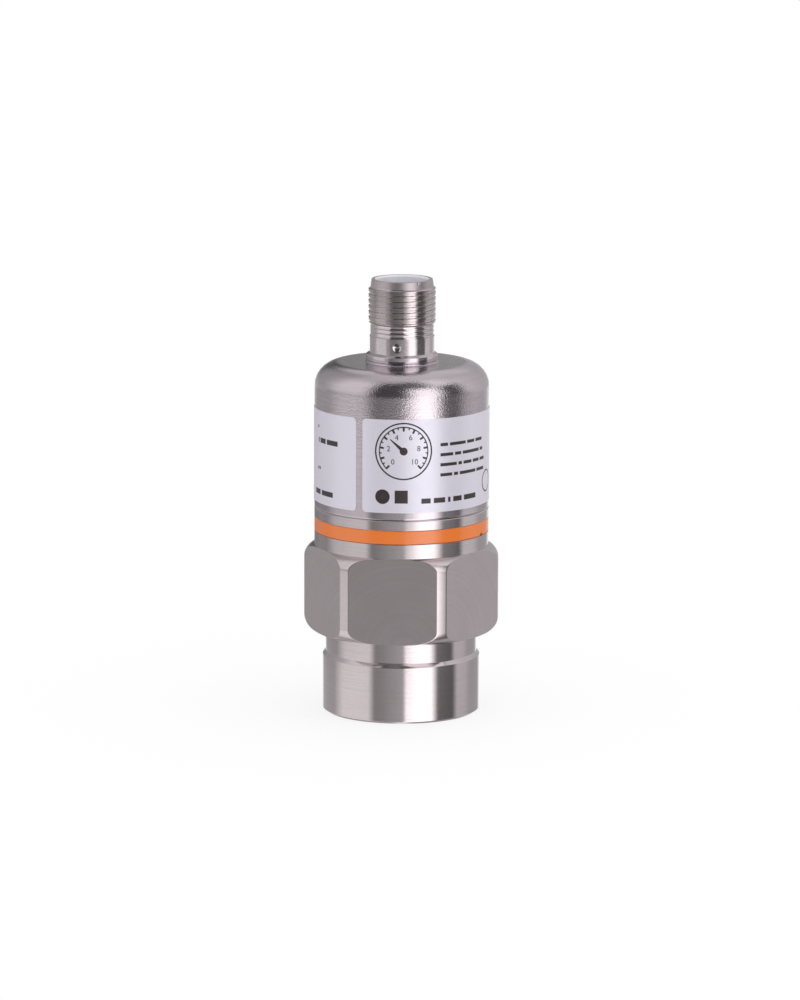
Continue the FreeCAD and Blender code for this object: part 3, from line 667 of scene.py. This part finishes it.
labelShape = {"gap": 1.3, "gapBearing": -22.9, "corner": 0.7, "printHeight": 0.015, "columns": 300,
              "cornerSteps": 9, "barStep": 0.25, "arcStep": 4, "arcRows": 3}
filmLook = {"colour": (0.77, 0.735, 0.835), "rough": 0.36, "metallic": 0.28, "specular": 0.8,
            "grain": 1500.0, "grainDepth": 0.5e-6, "shadeTo": 0.98}
inkLook = {"colour": (0.045, 0.032, 0.034), "rough": 0.35, "grain": 2500.0, "shadeTo": 0.8}
filmRadius = labelHigh[0] - labelShape["printHeight"]


def filmPatches():
    # point = (r sin b, -r cos b, z): b runs from one end of the film to the other, and near an
    # end the height is drawn in by c - sqrt(c^2 - (c - s)^2), s being the distance to the end
    shape = labelShape
    corner = shape["corner"]
    girth = 2 * math.pi * labelHigh[0]
    length = girth - shape["gap"]
    close = corner * (1 - np.cos(np.linspace(0, math.pi / 2, shape["cornerSteps"])))
    even = np.linspace(corner, length - corner, shape["columns"])[1:-1]
    along = np.concatenate([close, even, (length - close)[::-1]])
    away = np.clip(corner - np.minimum(along, length - along), 0, None)
    inset = corner - np.sqrt(np.clip(corner ** 2 - away ** 2, 0, None))
    angles = bearingAngles(shape["gapBearing"] + (along + shape["gap"] / 2) / girth * 360)
    basis = np.stack([np.cos(angles), np.sin(angles), 0 * angles], -1)
    levels = np.stack([labelLow[2] + inset, labelHigh[2] - inset])
    upward = np.array([0, 0, 1.0])

    def sheet(radius):
        return basis[None] * radius + levels[..., None] * upward

    outer, inner = sheet(filmRadius), sheet(neckRadius)
    patches = [(outer, np.broadcast_to(basis, outer.shape), 0.0),
               (inner, np.broadcast_to(-basis, inner.shape), 0.0)]
    for row, sense in ((0, -1.0), (1, 1.0)):
        strip = np.stack([inner[row], outer[row]])
        patches.append((strip, np.broadcast_to(sense * upward, strip.shape), 0.0))
    for column, sense in ((0, -1.0), (-1, 1.0)):
        strip = np.stack([inner[:, column], outer[:, column]])
        facing = sense * np.array([-basis[column, 1], basis[column, 0], 0])
        patches.append((strip, np.broadcast_to(facing, strip.shape), 0.0))
    return patches


def wrapped(across, upward, height):
    # a flat drawing laid round the film: distance across becomes bearing
    angles = bearingAngles(0) + across / labelHigh[0]
    radius = filmRadius + height
    return np.stack([radius * np.cos(angles), radius * np.sin(angles), upward + 0 * across], -1)


def inkPatches(across, upward):
    # a grid of the drawing as a thin closed slab of ink
    top = wrapped(across, upward, labelShape["printHeight"])
    bottom = wrapped(across, upward, -labelShape["printHeight"])
    outward = top * np.array([1, 1, 0])
    outward /= np.linalg.norm(outward, axis=-1, keepdims=True)
    middle = top.mean((0, 1))
    patches = [(top, outward, 0.0), (bottom, -outward, 0.0)]
    for pick in ((0, slice(None)), (-1, slice(None)), (slice(None), 0), (slice(None), -1)):
        strip = np.stack([bottom[pick], top[pick]])
        patches.append((strip, strip - middle, 0.0))
    return patches


def bar(left, right, low, high):
    steps = max(1, int((right - left) / labelShape["barStep"]))
    return inkPatches(*np.meshgrid(np.linspace(left, right, steps + 1), np.array([low, high])))


def arcBar(middle, inner, outer, start=0, end=360):
    # a stretch of a ring: (r sin t, r cos t) about its middle, t clockwise from the top
    steps = max(1, int(abs(end - start) / labelShape["arcStep"]))
    turns, reach = np.meshgrid(np.radians(np.linspace(start, end, steps + 1)),
                               np.linspace(inner, outer, labelShape["arcRows"]))
    return inkPatches(middle[0] + reach * np.sin(turns), middle[1] + reach * np.cos(turns))


dialShape = {"bearing": 6.9, "height": 49.2, "frameRadius": 5.1, "frameWidth": 0.26, "radius": 4.4,
             "halfSweep": 135, "steps": 10, "lineWidth": 0.2, "longTick": 0.85, "shortTick": 0.5,
             "tickWidth": 2.6, "fineWidth": 1.5, "digitSize": 1.35, "digitGap": 0.85,
             "digitDetail": 3, "hubRadius": 0.7, "handTurn": -48, "handLength": 3.2,
             "handWidth": 0.7, "handTaper": 0.8, "handSteps": 12}
# Rows of plain dashes: bearing of the row's start, height, dash height, dash lengths, gap.
# Bold signs: bearing, height and half width of a disc and of a square. The ring has its
# stroke as well.
dashShape = {
    "rows": [
        (31.5, 50.15, 0.55, (1.5, 3.6, 2.0, 2.2), 0.4),
        (31.5, 48.36, 0.55, (2.6, 1.4, 4.6, 1.0), 0.4),
        (31.5, 46.57, 0.55, (3.4, 0.8, 2.1, 1.9, 1.7), 0.4),
        (31.5, 44.78, 0.55, (2.4, 0.9, 4.2, 2.6), 0.4),
        (18.5, 40.3, 0.9, (1.7, 2.2, 0.5, 1.9, 3.2), 0.6),
        (-64.0, 49.6, 0.9, (0.35, 2.0, 3.1), 0.45), (-65.0, 52.0, 0.5, (0.4,), 0.3),
        (-65.0, 44.6, 0.5, (0.4, 0.4), 0.3), (-70.0, 40.3, 0.9, (2.4, 3.7), 0.6)],
    "disc": (-6.8, 41.1, 1.3), "square": (5.4, 41.1, 1.15), "ring": (78.5, 42.2, 2.0, 0.22),
}


def onFilm(bearing, height):
    # the distance across the flat drawing, and the height
    return math.radians(bearing) * labelHigh[0], height


def dialPatches():
    # a round frame, the ticks of a measuring scale with a long one at each number, and a hand
    shape = dialShape
    middle = onFilm(shape["bearing"], shape["height"])
    frameRadius, outer, sweep = shape["frameRadius"], shape["radius"], shape["halfSweep"]
    patches = arcBar(middle, frameRadius - shape["frameWidth"], frameRadius)
    patches += arcBar(middle, outer - shape["lineWidth"], outer, -sweep, sweep)
    patches += arcBar(middle, 0, shape["hubRadius"])
    for number in range(2 * shape["steps"] + 1):
        turn = sweep * (number / shape["steps"] - 1)
        width, length = (("fineWidth", "shortTick"), ("tickWidth", "longTick"))[number % 2 == 0]
        patches += arcBar(middle, outer - shape[length], outer, turn - shape[width],
                          turn + shape[width])
    turn, length = math.radians(shape["handTurn"]), shape["handLength"]
    along = np.linspace(0, length, shape["handSteps"])[None, :]
    half = shape["handWidth"] / 2 * (1 - shape["handTaper"] * along / length)
    side = np.array([-1, 0, 1])[:, None] * half
    patches += inkPatches(middle[0] + along * math.sin(turn) + side * math.cos(turn),
                          middle[1] + along * math.cos(turn) - side * math.sin(turn))
    return patches


def dashPatches():
    patches = []
    for bearing, height, thick, lengths, gap in dashShape["rows"]:
        start = onFilm(bearing, height)[0]
        for length in lengths:
            patches += bar(start, start + length, height - thick / 2, height + thick / 2)
            start += length + gap
    bearing, height, outer, stroke = dashShape["ring"]
    patches += arcBar(onFilm(bearing, height), outer - stroke, outer)
    bearing, height, outer = dashShape["disc"]
    patches += arcBar(onFilm(bearing, height), 0, outer)
    bearing, height, half = dashShape["square"]
    middle = onFilm(bearing, height)[0]
    return patches + bar(middle - half, middle + half, height - half, height + half)


def digitsMesh(name):
    # plain numbers inside the scale, from the built-in typeface, laid round the film
    shape = dialShape
    middle = onFilm(shape["bearing"], shape["height"])
    reach = shape["radius"] - shape["longTick"] - shape["digitGap"]
    points, faces, start = [], [], 0
    for number in range(0, shape["steps"] + 1, 2):
        curve = bpy.data.curves.new("digit", "FONT")
        curve.body, curve.size = str(number), shape["digitSize"]
        curve.align_x, curve.align_y = "CENTER", "CENTER"
        curve.extrude, curve.resolution_u = labelShape["printHeight"], shape["digitDetail"]
        holder = placed("digit", curve)
        bpy.context.view_layer.update()
        source = holder.evaluated_get(bpy.context.evaluated_depsgraph_get())
        digit = bpy.data.meshes.new_from_object(source)
        bpy.data.objects.remove(holder)
        flat = np.empty(len(digit.vertices) * 3, np.float32)
        digit.vertices.foreach_get("co", flat)
        flat = flat.reshape(-1, 3)
        turn = math.radians(shape["halfSweep"] * (2 * number / shape["steps"] - 1))
        points.append(wrapped(middle[0] + reach * math.sin(turn) + flat[:, 0],
                              middle[1] + reach * math.cos(turn) + flat[:, 1], flat[:, 2]))
        faces += [tuple(corner + start for corner in face.vertices) for face in digit.polygons]
        start += len(flat)
    mesh = bpy.data.meshes.new(name)
    mesh.from_pydata((np.concatenate(points) * mm).tolist(), [], faces)
    mesh.update()
    return mesh


labelFilm = plainMaterial("label_film", filmLook)
labelInk = plainMaterial("label_ink", inkLook)
addPiece("label_film_wrap", filmPatches(), "label_film", labelFilm, "type_label")
addPiece("label_scale", dialPatches(), "label_film", labelInk)
addPiece("label_dashes", dashPatches(), "label_film", labelInk)
addPiece("label_digits", digitsMesh("label_digits"), "label_film", labelInk)


# Plug connector shell

shellShape = {
    "spigotRadius": 5.6, "flangeEdge": 0.15, "flangeRound": 0.1, "flangeHeight": 1.05,
    "flareHeight": 0.4, "shankRadius": 5.75, "shankHeight": 2.85, "reliefRadius": 5.64,
    "reliefHeight": 2.2, "threadHeight": 6.6, "bandRadius": 5.6, "bandTaper": 0.18,
    "rimEdge": 0.05, "rimRound": 0.04, "mouthChamfer": 0.3, "mouthRound": 0.05,
    "boreRadius": 4.5, "seatRadius": 4.95, "seatHeight": 1.4, "litBoreMargin": 0.05,
    "steps": 220, "shankRows": 31, "reliefRows": 45, "threadRows": 200, "bandRows": 16,
    "thread": {"pitch": 1.0, "depth": 0.22, "crestWidth": 0.50, "rootWidth": 0.34,
               "crestRadius": 5.95, "crestHeight": 72.55, "crestBearing": -84.4, "runOut": 0.3},
    "punch": {"bearing": -3.0, "height": 65.9, "radius": 0.8, "depth": 0.25,
              "closeUp": 9.5, "closeUpSteps": 64},
    "nick": {"bearing": 37.4, "height": 77.1, "radius": 0.3, "depth": 0.14, "fade": 0.1,
             "closeUp": 4.0, "closeUpSteps": 24},
    "grooves": {"heights": (67.75, 68.55, 69.3), "width": 0.13, "depth": 0.05, "fade": 0.2},
}
threadPaintedShade, brushedRim, borePaintedLight = 1.0, 2.0, 3.0      # finish numbers of the coats


def dent(heights, angles, radius, mark):
    # the cap of a ball: sqrt(b^2 - d^2) - (b - depth) inside the mark, d being the distance
    # from its middle along the surface
    across = (angles - bearingAngles(mark["bearing"]))[None, :] * radius
    distance = np.hypot(across, (heights - mark["height"])[:, None])
    ball = (mark["radius"] ** 2 + mark["depth"] ** 2) / (2 * mark["depth"])
    cap = np.sqrt(np.clip(ball ** 2 - distance ** 2, 0, None)) - (ball - mark["depth"])
    return np.clip(cap, 0, None)


def shellPatches():
    shape = shellShape
    thread, punch, nick, grooves = (shape[key] for key in ("thread", "punch", "nick", "grooves"))
    seat, collarTop, rim = shellLow[2], canHigh[2], shellHigh[2]
    flangeTop = collarTop + shape["flangeHeight"]
    flareTop = flangeTop + shape["flareHeight"]
    shankTop = flareTop + shape["shankHeight"]
    threadLow = shankTop + shape["reliefHeight"]
    threadHigh = threadLow + shape["threadHeight"]
    spigot, flange, shank = shape["spigotRadius"], shellHigh[0], shape["shankRadius"]
    relief, band, rimEdge = shape["reliefRadius"], shape["bandRadius"], shape["rimEdge"]
    rimRadius, bore, mouth = band - shape["bandTaper"], shape["boreRadius"], shape["mouthChamfer"]
    seatRadius, seatTop = shape["seatRadius"], seat + shape["seatHeight"]
    closeUps = [(mark["bearing"], mark["closeUp"], mark["closeUpSteps"]) for mark in (punch, nick)]
    angles = roundTrip(shape["steps"], closeUps)

    # the turned parts: spigot and flange, the rim with the bore, the step above the shank
    outside = [(spigot, seat), (spigot, collarTop), (flange, collarTop, shape["flangeEdge"]),
               (flange, flangeTop, shape["flangeRound"]), (shank, flareTop)]
    inside = [(rimRadius, rim - rimEdge), (rimRadius - rimEdge, rim),
              (bore + mouth, rim, shape["rimRound"]), (bore, rim - mouth, shape["mouthRound"]),
              (bore, seatTop), (seatRadius, seatTop), (seatRadius, seat), (spigot, seat)]
    patches = turned(outside, angles)
    # the bore's wall below the mouth gets the pale coat, painted light; the rest of the rim is
    # brushed
    for run in outlineRuns(inside):
        paintedLitRun = run[0][:, 0].max() < bore + mouth + shape["litBoreMargin"]
        patches.append(lathe(run, angles, borePaintedLight if paintedLitRun else brushedRim))
    patches += turned([(shank, shankTop), (relief, shankTop)], angles)

    # the shank with its punch mark
    heights = np.linspace(flareTop, shankTop, shape["shankRows"])
    patches.append(carved(shank - dent(heights, angles, shank, punch), heights, angles))

    # the relief with its shallow grooves, each exp(-(distance / width)^2) deep
    heights = np.linspace(shankTop, threadLow, shape["reliefRows"])
    away = heights[:, None] - np.array(grooves["heights"])
    drop = np.exp(-(away / grooves["width"]) ** 2).sum(1)
    drop *= grooves["depth"] * endFade(heights, shankTop, threadLow, grooves["fade"])
    patches.append(carved(relief - drop[:, None] + 0 * angles[None, :], heights, angles))

    # the thread, which fades into the relief below and the band above; its coat is tinted darker as
    # painted shade for its grooves
    heights = np.linspace(threadLow, threadHigh, shape["threadRows"])
    ends = np.where(heights > (threadLow + threadHigh) / 2, band, relief)[:, None]
    screw, slope = screwRadius(heights, angles, thread, ends, 1)
    patches.append(carved(screw, heights, angles, mask=threadPaintedShade, up=slope))

    # the tapered band below the rim, with its nick
    heights = np.linspace(threadHigh, rim - rimEdge, shape["bandRows"])
    cone = np.linspace(band, rimRadius, shape["bandRows"])[:, None] + 0 * angles[None, :]
    fade = smoothStep(-heights, -heights[-1], nick["fade"] - heights[-1])[:, None]
    surface = cone - dent(heights, angles, band, nick) * fade
    return [*patches, carved(surface, heights, angles, mask=brushedRim)]


shellSteel = steelMaterial("connector_steel", steelLooks["connector"])
addPiece("connector_turned", shellPatches(), "connector_steel", shellSteel, "connector_shell")


# Contact pins: turned pins with domed tips

pinShape = {"circle": 5.5, "count": 4, "radius": 0.5, "tipRound": 0.4, "tailRadius": 0.35,
            "steps": 40}
pinLook = {"colour": (0.88, 0.62, 0.26), "rough": 0.2, "metallic": 1.0, "grain": 5000.0,
           "grainDepth": 0.6e-6}


def pinPatches():
    # one turned pin, laid at even bearings round the axis
    shape = pinShape
    low, high = extent("contact_pins")
    seat, tail, radius = shellLow[2], shape["tailRadius"], shape["radius"]
    corners = [(0, low[2]), (tail, low[2]), (tail, seat), (radius, seat),
               (radius, high[2], shape["tipRound"]), (0, high[2])]
    pin = turned(corners, roundTrip(shape["steps"]))
    patches = []
    for number in range(shape["count"]):
        angle = 2 * math.pi * (number + 0.5) / shape["count"]
        shift = np.array([math.cos(angle), math.sin(angle), 0]) * shape["circle"] / 2
        patches += [(places + shift, facings, mask) for places, facings, mask in pin]
    return patches


pinGold = plainMaterial("contact_gold", pinLook)
addPiece("contact_pins_turned", pinPatches(), "contact_gold", pinGold, "contact_pins")


# Pieces that keep their form from the frame

keptColumns = ("colour", "rough", "metallic", "grain", "grainDepth")
keptLooks = {
    "filter_membrane": ((0.78, 0.78, 0.76), 0.8, 0.0, 6000.0, 6e-6),
    "seal_rubber": ((0.03, 0.03, 0.032), 0.6, 0.0, 1800.0, 3e-6),
    "ceramic_white": ((0.8, 0.78, 0.74), 0.45, 0.0, 2500.0, 1.5e-6),
    "joint_glass": ((0.12, 0.14, 0.18), 0.2, 0.0, 3000.0, 1e-6),
    "support_plastic": ((0.72, 0.7, 0.64), 0.5, 0.0, 1500.0, 1e-6),
    "inner_steel": ((0.58, 0.56, 0.55), 0.3, 1.0, 3000.0, 1e-6),
    "carrier_plastic": ((0.05, 0.05, 0.055), 0.5, 0.0, 1600.0, 2e-6),
    "board_laminate": ((0.03, 0.16, 0.07), 0.4, 0.0, 1200.0, 2e-6),
    "chip_plastic": ((0.025, 0.025, 0.028), 0.45, 0.0, 3500.0, 2e-6),
    "chip_ceramic": ((0.45, 0.33, 0.22), 0.5, 0.0, 3000.0, 1e-6),
    "can_metal": ((0.62, 0.61, 0.58), 0.3, 1.0, 3000.0, 1e-6),
    "solder_tin": ((0.66, 0.66, 0.66), 0.25, 1.0, 900.0, 1e-6),
    "spring_bronze": ((0.62, 0.38, 0.2), 0.3, 1.0, 3000.0, 1e-6),
    "ribbon_film": ((0.5, 0.23, 0.05), 0.35, 0.0, 1100.0, 1e-6),
    "insert_plastic": ((0.72, 0.71, 0.76), 0.5, 0.0, 1800.0, 2e-6),
}

keptMaterials = {name: plainMaterial(name, dict(zip(keptColumns, look)))
                 for name, look in keptLooks.items()}
keptMaterials["contact_gold"] = pinGold
for row in frame["record"]["subparts"]:
    if row["node"] not in replaced:
        materials = frame["nodes"][row["node"]].data.materials
        materials.clear()
        materials.append(keptMaterials[row["material_slot"]])
print("materials on", len(frame["nodes"]) - len(replaced), "kept pieces")


# Floor, studio light and camera

floorLook = {"half": 3.0, "drop": 0.02, "colour": (0.88, 0.88, 0.88), "rough": 0.9, "glow": 1.07,
             "glowShare": 0.7}


def paleFloor():
    # a pale floor that keeps the soft shadow; the camera sees it nearly white
    look = floorLook
    half, low = look["half"], -look["drop"] * mm
    mesh = bpy.data.meshes.new("floor")
    corners = [(-half, -half, low), (half, -half, low), (half, half, low), (-half, half, low)]
    mesh.from_pydata(corners, [], [(0, 1, 2, 3)])
    floor = placed("floor", mesh)
    material, tree, shader = startMaterial("floor_pale")[:3]
    plug(shader, Base_Color=(*look["colour"], 1), Roughness=look["rough"])
    glow = addNode(tree, "Emission", Color=(1, 1, 1, 1), Strength=look["glow"]).outputs[0]
    seen = addNode(tree, "LightPath").outputs["Is Camera Ray"]
    share = maths(tree, "MULTIPLY", seen, look["glowShare"])
    mix = addNode(tree, "MixShader", n0=share, n1=shader.outputs[0], n2=glow)
    plug(tree.nodes["Material Output"], n0=mix.outputs[0])
    mesh.materials.append(material)
    floor.visible_glossy = False


# What the metal mirrors: cards standing round the object. Each is (start bearing, end bearing,
# brightness at the start, brightness at the end), and the stretch between two cards is the soft
# edge from one to the next. Upright walls mirror the low rows, each at its own height: foot,
# waist (hexagon top, neck and ring), can, plug and its thread. The dome mirrors the high cards
# up to the height in degrees that "tops" gives, and the over cards above that.
studioCards = {
    "foot": [
        (-180, -167, 1.05, 1.05), (-152, -138, 0.48, 0.47), (-132, -109, 0.46, 0.48),
        (-89, -44, 0.97, 0.95), (-34, -22, 0.3, 0.32), (-10, 9, 0.38, 0.46), (13.5, 51, 1.75, 1.85),
        (61, 88, 0.155, 0.12), (97, 112, 0.55, 0.52), (126, 158, 0.42, 0.41),
        (175, 180, 1.1, 1.15)],
    "waist": [
        (-180, -168, 0.45, 0.42), (-156, -144, 0.24, 0.25), (-134, -112, 0.3, 0.27),
        (-94, -76, 0.54, 0.62), (-66, -42, 0.68, 0.74), (-34, -20, 0.28, 0.34), (-8, 8, 0.4, 0.44),
        (20, 26, 1.05, 1.5), (32, 46.5, 1.75, 1.75), (63, 88, 0.27, 0.13), (96, 116, 0.72, 0.68),
        (130, 156, 0.43, 0.42), (170, 180, 0.95, 1.1)],
    "can": [
        (-180, -168, 0.88, 0.85), (-152, -140, 0.31, 0.29), (-130, -108, 0.45, 0.44),
        (-92, -42, 0.69, 0.78), (-39, -31, 0.22, 0.14), (-27, -18, 0.22, 0.4),
        (-10, -2, 0.54, 0.62), (4, 10, 0.8, 0.95), (20, 26, 1.1, 1.45), (33, 51, 1.65, 1.65),
        (63, 70, 0.54, 0.58), (80, 85, 0.5, 0.38), (97, 112, 0.68, 0.59), (125, 150, 0.55, 0.44),
        (176, 180, 1.2, 1.25)],
    "plug": [
        (-180, -164, 1.3, 1.2), (-150, -130, 0.42, 0.42), (-114, -106, 0.46, 0.52),
        (-94, -56, 0.94, 0.94), (-48, -38, 0.34, 0.4), (-32, -24, 0.36, 0.27),
        (-12, -2, 0.27, 0.35), (6, 15, 0.36, 0.36), (24, 28, 0.55, 0.85), (35, 53.5, 1.75, 1.75),
        (64.5, 92, 0.09, 0.04), (100, 118, 0.95, 0.76), (130, 142, 0.52, 0.56),
        (160, 180, 0.85, 1.05)],
    "thread": [
        (-180, -165, 0.6, 0.55), (-140, -114, 0.46, 0.47), (-104, -95, 0.27, 0.27),
        (-78, -44, 0.4, 0.38), (-35, -6, 0.13, 0.14), (4, 9, 0.18, 0.22), (16, 20, 0.58, 0.9),
        (28, 49, 1.65, 1.75), (56, 60, 0.3, 0.18), (66, 80, 0.11, 0.11), (90, 107, 0.3, 0.3),
        (117, 150, 0.62, 0.52), (165, 180, 0.55, 0.6)],
    "high": [
        (-180, -176.5, 0.46, 0.42), (-171, -160, 0.08, 0.14), (-150, -144, 0.34, 0.38),
        (-125, -108, 0.42, 0.54), (-92, -43, 0.8, 0.84), (-36, 11, 0.08, 0.09), (25, 54, 1.5, 1.55),
        (64, 92, 0.13, 0.09), (97, 108, 0.72, 0.74), (125, 150, 0.64, 0.56),
        (172, 180, 0.46, 0.46)],
    "tops": [
        (-180, -160, 26, 26), (-140, -44, 60, 60), (-40, 10, 64, 66), (16, 48, 38, 38),
        (56, 90, 40, 40), (100, 140, 60, 60), (160, 180, 26, 26)],
    "over": [
        (-180, -150, 0.72, 0.62), (-120, -100, 0.6, 0.64), (-80, -50, 0.55, 0.5),
        (-30, 0, 0.5, 0.55), (12, 40, 0.16, 0.2), (52, 62, 0.45, 0.95), (80, 95, 1.0, 0.82),
        (115, 180, 0.66, 0.72)],
}
# Where one row gives way to the next: its name, and the rise in degrees at which it starts to
# show and shows alone.
cardRows = [("waist", -12.05, -11.75), ("can", -10.3, -9.95), ("plug", -9.4, -9.15),
            ("thread", -8.95, -8.3), ("high", -7, 6)]
# The soft light on dull surfaces goes from low at the horizon to high overhead, and is stronger
# by the side's share from one bearing. Mirrored, the top of the studio has one even level.
studioLight = {"low": 0.82, "high": 1.04, "sideBearing": 50, "sideShare": 0.25, "overhead": 0.66,
               "overheadRise": (70, 80), "topEdge": 4}


def cardRamp(tree, bearing, name, scale=1.0):
    # the row's brightness for a bearing that is given as a share of the round trip
    stops = []
    for start, end, first, last in studioCards[name]:
        stops += [(start, first * scale), (end, last * scale)]
    ramp = addNode(tree, "ValToRGB", n0=bearing)
    elements = ramp.color_ramp.elements
    while len(elements) < len(stops):
        elements.new(0.5)
    for element, (angle, level) in zip(elements, stops):
        element.position, element.color = angle / 360 + 0.5, (level, level, level, 1)
    return ramp.outputs[0]


def studioWorld():
    # bearing and rise of the view direction, as shares; then the rows one over the other
    light = studioLight
    world = bpy.data.worlds.new("studio")
    bpy.context.scene.world = world
    world.use_nodes = True
    tree = world.node_tree
    way = addNode(tree, "TexCoord").outputs["Generated"]
    parts = addNode(tree, "SeparateXYZ", n0=way).outputs
    bearing = maths(tree, "ARCTAN2", parts[0], maths(tree, "MULTIPLY", parts[1], -1.0))
    bearing = maths(tree, "ADD", maths(tree, "DIVIDE", bearing, 2 * math.pi), 0.5)
    rise = maths(tree, "DIVIDE", maths(tree, "ARCSINE", parts[2]), math.pi / 2)

    def blend(first, second, value, start, end):
        share = remap(tree, value, "SMOOTHSTEP", From_Min=start / 90, From_Max=end / 90)
        return mixColours(tree, share, first, second)

    glossy = cardRamp(tree, bearing, "foot")
    for name, start, end in cardRows:
        glossy = blend(glossy, cardRamp(tree, bearing, name), rise, start, end)
    above = maths(tree, "SUBTRACT", rise, cardRamp(tree, bearing, "tops", 1 / 90))
    edge = light["topEdge"]
    glossy = blend(glossy, cardRamp(tree, bearing, "over"), above, -edge, edge)
    glossy = blend(glossy, (light["overhead"],) * 3, rise, *light["overheadRise"])
    soft = remap(tree, rise, From_Min=-1.0, To_Min=light["low"], To_Max=light["high"])
    turn = math.radians(light["sideBearing"])
    side = addNode(tree, "VectorMath", {"operation": "DOT_PRODUCT"}, n0=way,
                   n1=(math.sin(turn), -math.cos(turn), 0)).outputs["Value"]
    side = maths(tree, "MULTIPLY_ADD", side, light["sideShare"], 1.0)
    soft = maths(tree, "MULTIPLY", soft, side)
    seen = addNode(tree, "LightPath").outputs
    colour = mixColours(tree, seen["Is Glossy Ray"], soft, glossy)
    colour = mixColours(tree, seen["Is Camera Ray"], colour, (1, 1, 1))
    plug(tree.nodes["Background"], Color=colour)


cameraLook = {"bearing": 5.6, "elevation": 10.5, "distance": 1.0, "aimHeight": 0.0377,
              "lens": 202.3, "sensor": 36.0, "roll": 0.18, "shiftX": -0.0015}


def studioCamera():
    # at the photograph's viewing angle, on a circle of the distance about the aim point
    look = cameraLook
    data = bpy.data.cameras.new("camera")
    data.lens, data.sensor_width, data.shift_x = look["lens"], look["sensor"], look["shiftX"]
    camera = placed("camera", data)
    bearing, rise = math.radians(look["bearing"]), math.radians(look["elevation"])
    level = look["distance"] * math.cos(rise)
    spot = (level * math.sin(bearing), -level * math.cos(bearing),
            look["aimHeight"] + look["distance"] * math.sin(rise))
    camera.matrix_world = (Matrix.Translation(spot) @ Matrix.Rotation(bearing, 4, "Z")
                           @ Matrix.Rotation(math.pi / 2 - rise, 4, "X")
                           @ Matrix.Rotation(math.radians(look["roll"]), 4, "Z"))
    bpy.context.scene.camera = camera


paleFloor()
studioWorld()
studioCamera()
bpy.context.scene.view_settings.view_transform = "Standard"
print("floor, light and camera in place")
